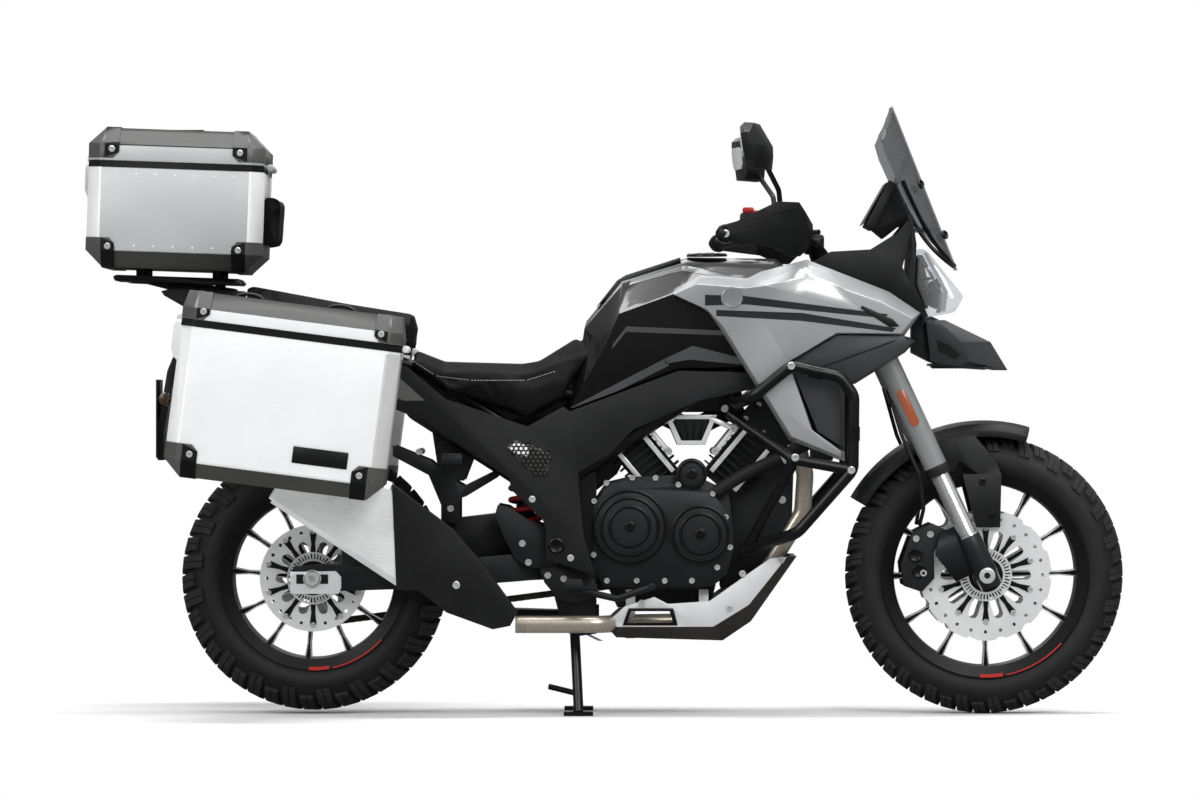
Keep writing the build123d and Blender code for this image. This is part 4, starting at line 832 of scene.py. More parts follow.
def cushioned(piece: Piece, cap: float, shrink: float = 3.0, voxel: float = 6.0) -> Piece:
    """Swell a shape into a padded form with a short cloth simulation.

    Args:
        piece: Closed shape to pad, changed in place.
        cap: Furthest that a point may move, in millimetres.
        shrink: How much smaller the start is, in millimetres.
        voxel: Remesh size in millimetres.

    Returns:
        The same object.
    """
    apply_modifier(piece, "REMESH", mode="VOXEL", voxel_size=voxel * MM, adaptivity=0.0)
    apply_modifier(piece, "SMOOTH", factor=0.5, iterations=4)
    apply_modifier(piece, "DISPLACE", strength=-shrink * MM, mid_level=0.0)
    start = [vertex.co.copy() for vertex in piece.data.vertices]
    cloth = piece.modifiers.new("Cloth", "CLOTH")
    cloth.settings.use_pressure = True
    cloth.settings.uniform_pressure_force = PAD_PRESSURE
    cloth.settings.effector_weights.gravity = 0.0
    cloth.settings.quality = 5
    cloth.point_cache.frame_start = 1
    cloth.point_cache.frame_end = PAD_FRAMES
    for number in range(1, PAD_FRAMES + 1):
        bpy.context.scene.frame_set(number)
    graph = bpy.context.evaluated_depsgraph_get()
    swollen = [vertex.co.copy() for vertex in piece.evaluated_get(graph).data.vertices]
    piece.modifiers.remove(cloth)
    bpy.context.scene.frame_set(1)
    for vertex, old, new in zip(piece.data.vertices, start, swollen):
        move = new - old
        if move.length > cap * MM:
            move *= cap * MM / move.length
        vertex.co = old + move
    apply_modifier(piece, "SMOOTH", factor=0.5, iterations=2)
    return apply_modifier(piece, "SUBSURF", levels=1, render_levels=1)


def inside(outline: Sequence[Flat], x: float, z: float) -> bool:
    """Whether a point lies within a side outline.

    Args:
        outline: Corners in (x, z).
        x: The point's x.
        z: The point's z.

    Returns:
        True where the point is inside.
    """
    odd = False
    for (x0, z0), (x1, z1) in zip(outline, list(outline[1:]) + [outline[0]]):
        if (z0 > z) != (z1 > z) and x < x0 + (x1 - x0) * (z - z0) / (z1 - z0):
            odd = not odd
    return odd


def solids_of(node: str) -> list[Piece]:
    """Copies of a CAD node's separate solids, from the rear of the bike to its front.

    Args:
        node: CAD node's name.

    Returns:
        One object for each solid.
    """
    piece = finish_edit(node_copy(node))
    edit_all(piece)
    bpy.ops.mesh.separate(type="LOOSE")
    bpy.ops.object.mode_set(mode="OBJECT")
    return sorted(bpy.context.selected_objects,
                  key=lambda part: sum(v.co.x for v in part.data.vertices)
                  / len(part.data.vertices))


def stitched(piece: Piece, route: Sequence[Flat], side: float, pitch: float = 7.0) -> Piece:
    """Row of stitches on a soft piece, laid on its surface from one side.

    Args:
        piece: Soft piece under the thread.
        route: (x, z) points of the seam in millimetres.
        side: -1 for the right side, 1 for the left.
        pitch: Length from stitch to stitch.

    Returns:
        The thread.
    """
    places = []
    for (x0, z0), (x1, z1) in zip(route, route[1:]):
        run = math.hypot(x1 - x0, z1 - z0)
        for step in range(int(run / pitch)):
            share = (step + 0.5) * pitch / run
            x, z = x0 + (x1 - x0) * share, z0 + (z1 - z0) * share
            start = Vector((x, side * 300, z)) * MM
            hit, spot, _, _ = piece.ray_cast(start, Vector((0, -side, 0)))
            if hit:
                places.append(facing(spot / MM, (x1 - x0, 0, z1 - z0)))
    stitch = turned([(-2.4, 0), (-2.0, 0.7), (0, 1.1), (2.0, 0.7), (2.4, 0)], steps=6)
    return copies(stitch, places)


# ------------------------------------------------------------------ wheels
@dataclass(frozen=True)
class TyreSize:
    """One tyre: its block count and size, and its lines as (y, radius) rows."""

    node: str
    body: str
    centre: Point
    pitches: int
    block: float
    tread: tuple[Flat, ...]
    floor: tuple[Flat, ...]
    side: tuple[Flat, ...]


TYRES = (
    TyreSize("front_tyre", "front_wheel", FRONT_AXLE, 50, 31.0,
             ((4, 324.6), (22, 322.9), (38, 315), (49, 303), (55, 289)),
             ((4, 314), (20, 312.5), (34, 305.3), (43, 296), (48, 284)),
             ((0, 315), (22, 313.6), (36, 306.3), (45, 297.5), (51.5, 285), (55.5, 277),
              (57.3, 268), (56, 256), (50, 246), (45, 241), (43, 233.2))),
    TyreSize("rear_tyre", "rear_wheel", REAR_AXLE, 42, 35.5,
             ((5, 310), (30, 306.8), (52, 297), (68, 281), (77, 262)),
             ((5, 299), (28, 295.8), (47, 286.4), (61, 273), (69, 257)),
             ((0, 300), (28, 297), (48, 287.4), (62, 274.5), (72, 259), (77.5, 250),
              (79.8, 240), (77, 228), (69, 219), (64, 215), (62, 208.2))),
)


@dataclass
class Tyres:
    """Carcasses with raised side lines and the siped blocks of the tread."""

    slant: float = 15.0
    sipe: float = 3.6

    def block(self, size: TyreSize, rows: int) -> Piece:
        """One half-width tread block at the top of the wheel, crossed by a sipe."""
        rings = []
        for (y, top), (y_low, low) in list(zip(size.tread, size.floor))[:rows]:
            lean = self.slant * (y / size.tread[-1][0]) ** 1.4
            half = size.block / 2 * (1 - 0.1 * y / size.tread[-1][0])
            dy = (y - y_low) / max(top - low, 1)
            cut_y, cut_r = y - dy * self.sipe, top - self.sipe
            rings.append([(lean - half, y_low, low), (lean - half + 1, y, top),
                          (lean - 1, y, top), (lean - 0.8, cut_y, cut_r),
                          (lean + 0.8, cut_y, cut_r), (lean + 1, y, top),
                          (lean + half - 1, y, top), (lean + half, y_low, low)])
        return lofted(rings)

    def tread(self, size: TyreSize) -> Piece:
        """All blocks of one tyre, long ones and short ones by turns."""
        middle = Vector(size.centre) * MM
        rows = []
        for start, count in ((0, 5), (1, 4)):
            places = []
            for number in range(start, size.pitches, 2):
                for side in (1, -1):
                    turn = math.tau * (number + (0.12 if side < 0 else 0)) / size.pitches
                    places.append(Matrix.Translation(middle) @ Matrix.Rotation(turn, 4, "Y")
                                  @ Matrix.Scale(side, 4, (0, 1, 0)))
            rows.append(copies(self.block(size, count), places))
        return finish_edit(join(rows), EXACT)

    def build(self) -> None:
        """Build both tyres."""
        for size in TYRES:
            ring = [*size.side, *((-y, r) for y, r in reversed(size.side[1:]))]
            carcass = turned(ring, size.centre, (0, 1, 0), 96)
            widest = size.side[6]
            lines = [turned([(side * (widest[0] - 2.2 - inset), r - 1.6),
                             (side * (widest[0] - 0.4 - inset), r - 1.0),
                             (side * (widest[0] - 0.4 - inset), r + 1.0),
                             (side * (widest[0] - 2.2 - inset), r + 1.6)], size.centre,
                            (0, 1, 0), 96)
                     for side in (-1, 1)
                     for r, inset in ((widest[1] + 4, 0.3),
                                      (size.side[9][1] + 2, widest[0] - size.side[9][0] - 1.5))]
            dress(join([carcass, *lines]), size.node + "_carcass", TYRE_RUBBER, size.body, 50)
            tread = dress(self.tread(size), size.node + "_tread", TREAD_RUBBER, size.body, 25)
            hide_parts(size.node)


@dataclass
class Wheels:
    """Bright spoke edges, rim stripes, disc carriers, speed rings and axle hardware."""

    spokes: int = 12

    def spoke_edges(self, centre: Point, body: str, root: float, reach: float,
                    first: float, name: str) -> None:
        """Machined strips along both edges of each spoke, on both faces.

        Args:
            centre: Wheel's centre.
            body: Wheel that carries them.
            root: Radius at the spoke's root.
            reach: Radius at its end.
            first: Angle of the first spoke in degrees.
            name: Plain name.
        """
        middle = Vector(centre) * MM
        stations = ((root, 7.5, 23.2), (reach * 0.82, 4.5, 13.2), (reach, 8.3, 15.0))
        rings = [[(r, -depth - 0.5, w), (r, -depth - 0.5, w - 2.6), (r, -depth + 1.5, w - 2.6),
                  (r, -depth + 1.5, w + 0.3)] for r, w, depth in stations]
        strip = lofted(rings)
        places = []
        for number in range(self.spokes):
            turn = Matrix.Rotation(-math.radians(first + 360 * number / self.spokes), 4, "Y")
            for face in (1, -1):
                for edge in (1, -1):
                    places.append(Matrix.Translation(middle) @ turn
                                  @ Matrix.Scale(face, 4, (0, 1, 0))
                                  @ Matrix.Scale(edge, 4, (0, 0, 1)))
        dress(finish_edit(copies(strip, places), EXACT), name, MACHINED, body)

    def stripes(self, centre: Point, radius: float, y: float, body: str, name: str) -> None:
        """Short red bar and a thin red line along the rim's lip, on both sides."""
        made = [arc_strip(centre, radius - wide, radius + 3, side * y, side * (y + 0.5),
                          start, stop, 16)
                for side in (-1, 1) for start, stop, wide in ((-93, -80, 5), (-78, -42, 0))]
        dress(join(made), name, RED_PAINT, body)

    def carrier(self, centre: Point, y: float, out: float, body: str, name: str) -> None:
        """Black disc carrier with its arms, and bright bobbins at their ends.

        Args:
            centre: Wheel's centre.
            y: The face's y.
            out: -1 for the right face, 1 for the left.
            body: Wheel that carries it.
            name: Plain name.
        """
        face = y + out * 2.5
        ring = turned([(face, 31), (face + out * 1.6, 31), (face + out * 1.6, 49), (face, 52)],
                      centre, (0, 1, 0), 48)
        arm = lofted([[(48, -7, 0), (48, 7, 0), (48, 7, 1.6), (48, -7, 1.6)],
                      [(80, -4.5, 0), (80, 4.5, 0), (80, 4.5, 1.6), (80, -4.5, 1.6)],
                      [(107, -8, 0), (107, 8, 0), (107, 8, 1.6), (107, -8, 1.6)]])
        arms = copies(arm, round_axle(centre, face, out, 10, 18))
        dress(finish_edit(join([ring, arms]), EXACT), name + "_carrier", BLACK_SATIN, body)
        spots = [(centre[0] + 109 * math.cos(math.radians(18 + 36 * n)), face,
                  centre[2] + 109 * math.sin(math.radians(18 + 36 * n))) for n in range(10)]
        screws(spots, (0, out, 0), 6.5, name + "_bobbins", 3.4, body=body)

    def speed_ring(self, centre: Point, y: float, out: float, body: str, name: str) -> None:
        """Slotted ring that the speed sensor reads.

        Args:
            centre: Wheel's centre.
            y: The face's y.
            out: -1 for the right face, 1 for the left.
            body: Wheel that carries it.
            name: Plain name.
        """
        rings = [turned([(y, low), (y + out * 1.6, low), (y + out * 1.6, high), (y, high)],
                        centre, (0, 1, 0), 60) for low, high in ((40, 45), (57, 61))]
        tooth = lofted([[(44, -1.6, 0), (44, 1.6, 0), (44, 1.6, 1.6), (44, -1.6, 1.6)],
                        [(58, -2.2, 0), (58, 2.2, 0), (58, 2.2, 1.6), (58, -2.2, 1.6)]])
        teeth = copies(tooth, round_axle(centre, y, out, 44))
        dress(finish_edit(join([*rings, teeth]), EXACT), name, ROTOR_STEEL, body)

    def build(self) -> None:
        """Fit out both wheels."""
        front, rear = FRONT_AXLE, REAR_AXLE
        self.spoke_edges(front, "front_wheel", 36, 212, -89.0, "front_spoke_edges")
        self.spoke_edges(rear, "rear_wheel", 44, 187, -94.5, "rear_spoke_edges")
        self.stripes(front, 237, 55.0, "front_wheel", "front_rim_stripe")
        self.stripes(rear, 212, 74.0, "rear_wheel", "rear_rim_stripe")
        for out, name in ((-1, "right"), (1, "left")):
            self.carrier(front, out * 73.8, out, "front_wheel", f"front_{name}_disc")
            self.speed_ring(front, out * 78.2, out, "front_wheel", f"front_{name}_speed_ring")
        self.carrier(rear, -88.8, -1, "rear_wheel", "rear_disc")
        self.speed_ring(rear, -93.2, -1, "rear_wheel", "rear_speed_ring")
        nut = turned([(0, 0), (0, 21), (3, 21), (5, 17), (12, 17), (14, 15), (14, 8), (6, 7.5),
                      (6, 0)], steps=24)
        nuts = paired(nut, (REAR_AXLE[0], 146, REAR_AXLE[2]), (0, 1, 0))
        dress(nuts, "rear_axle_nuts", BOLT_STEEL)
        cap = turned([(0, 7.6), (0, 17), (2, 18), (3, 15), (3, 7.6)], steps=24)
        caps = paired(cap, (FRONT_AXLE[0], 136, FRONT_AXLE[2]), (0, 1, 0))
        dress(caps, "front_axle_caps", BOLT_STEEL, "steering")
        slide = side_plate([(-718, 283), (-606, 283), (-600, 297), (-600, 322), (-612, 336),
                            (-718, 334)], -138, -142, 1.2)
        cut(slide, side_plate(rect(-704, 306, -630, 328), -130, -150, 0))
        dress(mirrored(slide), "rear_axle_plates", MACHINED)


# ------------------------------------------------------------------ tank, panels and fairings
@dataclass
class Bodywork:
    """Lacquered tank with grey bands, silver side panels, covers and beak."""

    bands: tuple[tuple[Flat, ...], ...] = (
        ((68, 1000), (72, 1012), (192, 1046), (190, 1033)),
        ((190, 1033), (192, 1046), (360, 1016), (352, 1005)),
        ((28, 850), (30, 862), (62, 903), (60, 890)),
        ((60, 890), (62, 903), (284, 893), (290, 882)),
        ((-62, 702), (-66, 716), (150, 828), (160, 812)),
        ((150, 816), (150, 828), (215, 858), (208, 826)),
        ((208, 826), (215, 858), (340, 826), (352, 812)),
    )
    dark_stripes: tuple[tuple[Flat, ...], ...] = (
        ((242, 950), (242, 975), (334, 972), (334, 953)),
        ((334, 953), (334, 972), (664, 930), (656, 921)),
        ((268, 926), (268, 940), (466, 933), (462, 915)),
        ((462, 915), (466, 933), (682, 898), (674, 889)),
    )

    def tank(self) -> None:
        """Tank shell, its bands, filler and cover screws."""
        softened("fuel_tank", "fuel_tank_shell", TANK_BLACK, 11, 4)
        layers = [skin_of("fuel_tank", outline, 0.7) for outline in self.bands]
        dress(join(layers), "tank_bands", BAND_GREY)
        neck = turned([(0, 0), (0, 48), (5, 47), (7, 43), (7, 36), (4, 34), (4, 0)],
                      (250, 0, 1068), (-0.01, 0, 1), 40)
        dress(neck, "filler_ring", BLACK_SATIN)
        flap = turned([(0, 0), (0, 31), (4, 31), (6, 27), (6, 0)], (250, 0, 1072),
                      (-0.01, 0, 1), 40)
        dress(flap, "filler_flap", BOLT_STEEL)
        ring = [(250 + 41 * math.cos(a), 41 * math.sin(a), 1075)
                for a in (math.tau * n / 6 for n in range(6))]
        screws(ring, (0, 0, 1), 3.2, "filler_screws")
        spine = side_plate([(-10, 948), (40, 1012), (60, 1024), (188, 1066), (188, 1056),
                            (60, 1010)], 34, -34, 3)
        dress(spine, "tank_spine_pad", GREY_ABS)

    def panels(self) -> None:
        """Side panels with ridges, dark stripes, a painted highlight on the upper facets, badge and
        screw.
        """
        softened("side_panels", "side_panel_shells", SILVER_LACQUER, 3.2, 3)
        layers = [skin_of("side_panels", outline, 0.6) for outline in self.dark_stripes]
        dress(join(layers), "panel_stripes", STRIPE_GREY)
        # Painted highlight: a brighter silver layer over the panels' upper facets, where the light
        # falls on them.
        facet = skin_of("side_panels", [(364, 1000), (475, 1045), (526, 1035), (600, 940),
                                        (569, 946)], 0.4)
        dress(facet, "panel_painted_highlight_facets", PAINTED_HIGHLIGHT_LACQUER)
        badge = turned([(0, 0), (0, 25), (2, 25), (3, 22), (2.2, 20), (2.2, 0)], (304, -226, 968),
                       RIGHT, 40)
        dress(mirrored(badge), "round_badges", PALE_LACQUER)
        screws([(218, -218, 990)], RIGHT, 8, "panel_screws", 3, both=True)
        fin = side_plate([(600, 944), (668, 900), (690, 902), (676, 918), (604, 950)],
                         -222, -229, 1.5)
        dress(mirrored(fin), "panel_fins", BLACK_ABS)

    def fairings(self) -> None:
        """Dark lower fairings with painted shade along a crease, and the covers under the seat."""
        softened("lower_fairings", "lower_fairing_shells", GREY_ABS, 3, 2)
        softened("side_covers", "side_cover_shells", BLACK_ABS, 6, 3)
        # Painted shade: a thin black strip along the lower fairings' crease.
        rib = lofted([[(474, -213.5, 792), (482, -213.5, 800), (482, -211, 800), (474, -211, 792)],
                      [(676, -213.5, 866), (684, -213.5, 872), (684, -211, 872), (676, -211, 866)]])
        dress(mirrored(rib), "fairing_crease_painted_shade", BLACK_ABS)

    def vents(self) -> None:
        """Honeycomb mesh and its backs in the side covers' vents, and a painted glint behind the
        mesh.
        """
        cell = turned([(-1.2, 6.4), (1.2, 6.4), (1.2, 4.3), (-1.2, 4.3)], steps=6)
        spots = []
        vent = [(-216, 624), (-196, 640), (-146, 624), (-112, 606), (-124, 560), (-152, 562),
                (-180, 588)]
        for row in range(9):
            for column in range(11):
                x = -216 + column * 11.2 + (5.6 if row % 2 else 0)
                z = 562 + row * 9.7
                if inside(vent, x, z):
                    spots.append(facing((x, -176.9, z), RIGHT, 30))
        dress(mirrored(copies(cell, spots)), "cover_vent_mesh", DARK_ABS)
        behind = side_plate(vent, -175, -176.5, 0.3)
        dress(mirrored(behind), "cover_vent_backs", OLIVE_GREY_AND_SHADE)
        # Painted glint: a bright plate behind the upper part of the mesh, standing for light seen
        # through it.
        glint = side_plate([(-212, 622), (-196, 634), (-164, 625), (-166, 602), (-190, 606)],
                           -176, -176.9, 0.2)
        dress(mirrored(glint), "cover_vent_painted_glints", CASE_BRIGHT_AND_HIGHLIGHT)

    def cover_trims(self) -> None:
        """Bosses and screws of the side covers, and the accents under the tail."""
        boss = turned([(0, 0), (0, 19), (3, 18), (4, 15), (2, 12), (2, 0)], (-101, -176, 395),
                      RIGHT, 32)
        dress(mirrored(boss), "cover_bosses", BLACK_SATIN)
        screws([(-157, -176, 503), (-68, -176, 367)], RIGHT, 8, "cover_screws", 4, both=True)
        corner = [(-519, 808), (-465, 785), (-405, 731), (-454, 731), (-519, 756)]
        plates = mirrored(side_plate(corner, -128, -150, 3))
        accent = join([plates, skin_of("side_covers", corner, 0.8)])
        dress(accent, "tail_side_accents", CASE_TRIM)

    def beak(self) -> None:
        """Beak with its root, painted shade in its side recesses and the grille under it."""
        softened("beak", "beak_shell", GREY_LACQUER, 4, 3)
        root = side_plate([(727, 843), (727, 903), (743, 931), (766, 925), (766, 823)], -36, 36, 3)
        dress(root, "beak_root", GREY_LACQUER)
        # Painted shade: a dark layer over the beak's side recesses.
        recess = skin_of("beak", [(782, 872), (808, 862), (838, 838), (826, 826), (786, 846)], 0.8)
        dress(recess, "beak_recess_painted_shade", DARK_ABS)
        slats = [side_plate(rect(x, 815, x + 2.2, 806), -66, 66, 0) for x in range(780, 900, 9)]
        slats += [box((776, y - 1.1, 808), (898, y + 1.1, 814), 0) for y in range(-60, 61, 12)]
        dress(join(slats), "beak_grille", BLACK_ABS)

    def fenders(self) -> None:
        """Front fender, open for the calipers, with its screws, the tail and the rear hugger."""
        fender = softened("front_fender", "front_fender_shell", BLACK_ABS, 1.4, 2)
        for side in (-1, 1):
            cut(fender, side_plate([(760, 566), (842, 566), (878, 424), (760, 424)], side * 58,
                                   side * 96, 0))
        ends = [fender.ray_cast(Vector((x, -300, z)) * MM, Vector((0, 1, 0)))[1] / MM
                for x, z in ((890, 543), (912, 465))]
        screws(ends, RIGHT, 8, "fender_screws", 5, body="steering", finish=DARK_ABS, both=True)
        softened("tail_unit", "tail_body", BLACK_ABS, 3, 2)
        softened("rear_hugger", "rear_hugger_shell", BLACK_ABS, 2, 2)

    def inner(self) -> None:
        """Airbox, pan under the seat, front engine mount and throttle body block."""
        airbox = side_plate([(-300, 735), (-262, 690), (-167, 655), (-60, 690), (60, 735),
                             (140, 716), (180, 704), (330, 704), (330, 832), (176, 836),
                             (40, 800), (-60, 775), (-130, 725), (-200, 745), (-300, 768)],
                            -96, 96, 6)
        dress(airbox, "airbox", BLACK_ABS)
        pan = side_plate([(-500, 830), (-470, 770), (-400, 725), (-300, 672), (-200, 650),
                          (-100, 690), (-20, 740), (-10, 815), (-60, 805), (-120, 725),
                          (-166, 705), (-260, 725), (-380, 775), (-440, 818)], -104, 104, 5)
        dress(pan, "seat_pan", DARK_ABS)
        mount = side_plate([(285, 600), (392, 640), (452, 600), (446, 420), (424, 378), (392, 362),
                            (300, 300), (280, 290)], -72, 72, 8)
        dress(mount, "engine_front_mount", BLACK_CAST)
        rear = side_plate([(-20, 600), (60, 690), (110, 700), (40, 560), (-10, 520), (-60, 520)],
                          -60, 60, 6)
        dress(rear, "throttle_body_block", BLACK_CAST)
        screws([(372, -72, 572), (424, -72, 500), (392, -72, 398)], RIGHT, 9,
               "front_mount_screws", 5, both=True)

    def build(self) -> None:
        """Build the painted and moulded bodywork."""
        self.inner()
        self.tank()
        self.panels()
        self.fairings()
        self.vents()
        self.cover_trims()
        self.beak()
        self.fenders()


# ------------------------------------------------------------------ seats
@dataclass
class Pads:
    """Rider and pillion pads and the backrest, swollen like foam under a sewn cover."""

    cap: float = 9.0

    def build(self) -> None:
        """Build the three pads with their seams."""
        pillion, rider = (cushioned(part, self.cap) for part in solids_of("seat"))
        dress(rider, "rider_seat", SEAT_VINYL, smooth=60)
        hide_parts("seat")
        line = [(-438, 826), (-380, 788), (-300, 778), (-170, 778), (-100, 800)]
        thread = [stitched(rider, line, side) for side in (-1, 1)]
        dress(join(thread), "rider_seat_stitches", PALE_THREAD)
        dress(pillion, "pillion_seat", SEAT_VINYL, smooth=60)
        seam = [(-820, 962), (-600, 912), (-450, 880)]
        thread = [stitched(pillion, seam, side) for side in (-1, 1)]
        dress(join(thread), "pillion_seat_stitches", PALE_THREAD)
        back = cushioned(finish_edit(node_copy("backrest")), 6.0, 4.0, 5.0)
        dress(back, "backrest_pad", SEAT_VINYL, smooth=60)
        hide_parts("backrest")


# ------------------------------------------------------------------ cases
@dataclass(frozen=True)
class CaseSize:
    """One kind of case: where it stands and how big it is.

    origin is the case's centre in the bike's (x, z) and tilt how far its front is down, in
    degrees. low, split and top are heights in the case's own axes, and wall is the y of its
    outer face.
    """

    origin: Flat
    tilt: float
    length: float
    low: float
    split: float
    top: float
    wall: float

    def at(self, *points: Flat) -> list[Flat]:
        """Points of the case's own axes in the bike's (x, z)."""
        sine, cosine = math.sin(math.radians(self.tilt)), math.cos(math.radians(self.tilt))
        return [(self.origin[0] + x * cosine + z * sine, self.origin[1] - x * sine + z * cosine)
                for x, z in points]

    def inward(self, corner: Flat, *steps: Flat) -> list[Flat]:
        """Points in the bike's (x, z) that lie these steps inward from a corner of the case."""
        x, z = corner
        in_x, in_z = (-1 if x > 0 else 1), (-1 if z > 0 else 1)
        return self.at(*[(x + in_x * a, z + in_z * b) for a, b in steps])


SIDE_CASE = CaseSize((-718, 742), 7.3, 500, -210, 140, 210, 478)
TOP_CASE = CaseSize((-983, 1161), 2.0, 402, -125, 119, 195, 215)


@dataclass
class Cases:
    """Sheet shells with painted highlight and shade over the bevelled corners, moulded corner caps,
    rivets and loops.
    """

    corner: float = 26.0

    def band(self, node: str, size: CaseSize, low: float, high: float, name: str,
             finish: Finish, grow: float, short: float = -4.0) -> None:
        """Level layer round a case.

        Args:
            node: CAD node under the layer.
            size: Case that the node belongs to.
            low: Lower edge in the case's own axes.
            high: Upper edge.
            name: Plain name.
            finish: Its surface.
            grow: How far the layer stands off the case.
            short: How far its ends stay inside the case's ends.
        """
        reach = size.length / 2 - short
        layer = skin_of(node, size.at(*rect(-reach, low, reach, high)), grow)
        dress(layer, name, finish, BODY_OF[node])

    def strips(self, node: str, size: CaseSize, high: float, finishes: Sequence[Finish]) -> None:
        """Upright strips over the four bevelled corners that paint their highlight and shade, the
        front ones first.

        Args:
            node: CAD node under the trims.
            size: Case that the node belongs to.
            high: Their top in the case's own axes.
            finishes: Front finish and rear finish.
        """
        half, low = size.length / 2, size.low + 36
        for sign, finish, word in ((1, finishes[0], "front"), (-1, finishes[1], "rear")):
            outline = rect(sign * (half - self.corner - 5), low, sign * (half + 4), high)
            dress(skin_of(node, size.at(*outline), 1.2), f"{node}_{word}_trim", finish)

    def caps(self, node: str, size: CaseSize, z: float, reach: float) -> None:
        """Moulded caps over the bevelled corners at one height, with a strap and screw in each.

        Args:
            node: CAD node under the caps.
            size: Case that the node belongs to.
            z: The corners' height in the case's own axes.
            reach: The caps' width.
        """
        body = BODY_OF[node]
        corners = ((-size.length / 2, z), (size.length / 2, z))
        made = [skin_of(node, size.inward(corner, (-6, -6), (reach, -6), (reach, reach * 0.8),
                                          (reach * 0.8, reach), (-6, reach)), 2.6)
                for corner in corners]
        dress(join(made), f"{node}_corner_caps", CAP_GREY, body)
        straps = [skin_of(node, size.inward(corner, (reach * 0.52, -6), (reach, -6),
                                            (reach, reach * 0.8), (reach * 0.52, reach)), 3.6)
                  for corner in corners]
        dress(join(straps), f"{node}_corner_straps", DARK_ABS, body)
        side = 1 if node == "pannier_lid_left" else -1
        heads = [(px, side * (size.wall + 3), pz) for corner in corners
                 for px, pz in size.inward(corner, (reach * 0.76, reach * 0.7))]
        screws(heads, (0, side, 0), 7.5, f"{node}_cap_screws", 4, body=body,
               both=not node.startswith("pannier_lid"))

    def rivets(self, size: CaseSize, rows: Flat, columns: Iterable[float], radius: float,
               height: float, name: str) -> None:
        """Rows of rivets on a case's outer faces."""
        spots = size.at(*[(x, z) for z in rows for x in columns])
        screws([(px, -size.wall - 0.2, pz) for px, pz in spots], RIGHT, radius, name, height,
               finish=CASE_BRIGHT_AND_HIGHLIGHT, both=True)

    def loops(self, side: int, node: str, name: str) -> None:
        """Two tie-down loops standing on a side case's lid.

        Args:
            side: -1 for the right case, 1 for the left.
            node: Lid that carries them.
            name: Plain name.
        """
        size, made = SIDE_CASE, []
        for x in (-105, 105):
            ends = size.at((x - 34, size.top - 5), (x - 27, size.top + 9),
                           (x + 27, size.top + 9), (x + 34, size.top - 5))
            y = side * (size.wall - 52)
            made.append(bar([(px, y, pz) for px, pz in ends], 4.2, 3))
        dress(join(made), name, DARK_ABS, node)

    def side_cases(self) -> None:
        """Trim out the two side cases and their lids."""
        size, node = SIDE_CASE, "pannier_boxes"
        softened(node, "side_case_boxes", CASE_WHITE, 1.6, 2)
        # Painted shade on the side cases' front corners, painted highlight on their rear corners.
        self.strips(node, size, size.split - 16, (CASE_EDGE_SHADE, CASE_BRIGHT_AND_HIGHLIGHT))
        self.band(node, size, size.split - 10, size.split, "side_case_seams", DARK_ABS, 1.8)
        # Painted shade over the side cases' lower bevels.
        self.band(node, size, size.low - 4, size.low + 32, "side_case_painted_bottom_shade", OLIVE_GREY_AND_SHADE,
                  1.4, 50)
        self.caps(node, size, size.low, 74)
        label = side_plate(size.at(*rect(38, -148, 164, -110)), -480.6, -478, 1.0)
        dress(mirrored(label), "side_case_blank_labels", DARK_ABS)
        self.rivets(size, (-168, 104), range(-180, 181, 60), 2.6, 1.2, "side_case_rivets")
        for word, side in (("right", -1), ("left", 1)):
            node = f"pannier_lid_{word}"
            softened(node, f"side_case_lid_{word}", CASE_WHITE, 1.6, 2)
            self.band(node, size, size.split, size.split + 7, f"lid_seam_{word}", DARK_ABS, 1.6)
            # Painted shade over the lid's top bevel.
            self.band(node, size, size.top - 37, size.top + 4, f"lid_bevel_painted_shade_{word}", LID_SHADE_GREY, 1.0)
            self.caps(node, size, size.top, 62)
            self.loops(side, node, f"lid_loops_{word}")

    def top(self) -> None:
        """Trim out the top case and its lid."""
        size, node = TOP_CASE, "top_case"
        softened(node, "top_case_box", CASE_SHEET, 1.6, 2)
        softened("top_case_lid", "top_case_lid_shell", CASE_SHEET, 1.6, 2)
        # Painted highlight over all four corners of the top case.
        self.strips(node, size, size.split - 14, (CASE_BRIGHT_AND_HIGHLIGHT, CASE_BRIGHT_AND_HIGHLIGHT))
        self.band(node, size, size.split - 15, size.split, "top_case_seam", DARK_ABS, 1.8)
        # Painted shade over the top case's lower bevel.
        self.band(node, size, size.low - 4, size.low + 36, "top_case_painted_bottom_shade", OLIVE_GREY_AND_SHADE, 1.2, 40)
        self.caps(node, size, size.low, 66)
        # Painted shade over the top lid's bevel.
        self.band("top_case_lid", size, size.top - 40, size.top + 4, "top_lid_painted_shade", LID_SHADE_GREY,
                  0.9)
        self.caps("top_case_lid", size, size.top, 70)
        self.rivets(size, (-76, 90), range(-135, 136, 45), 2.4, 1.1, "top_case_rivets")
        pad = box((-1060, -120, 1357.5), (-920, 120, 1359.5), 0.8)
        dress(pad, "top_lid_grip_mat", DARK_ABS, "top_case_lid")
        lock = turned([(0, 0), (0, 11), (2, 11), (3, 9), (1.5, 7), (1.5, 0)], steps=24)
        px, pz = size.at((-size.length / 2 - 17, 60))[0]
        dress(copies(lock, [facing((px, 0, pz), (-1, 0, 0))]), "top_case_lock", BOLT_STEEL)

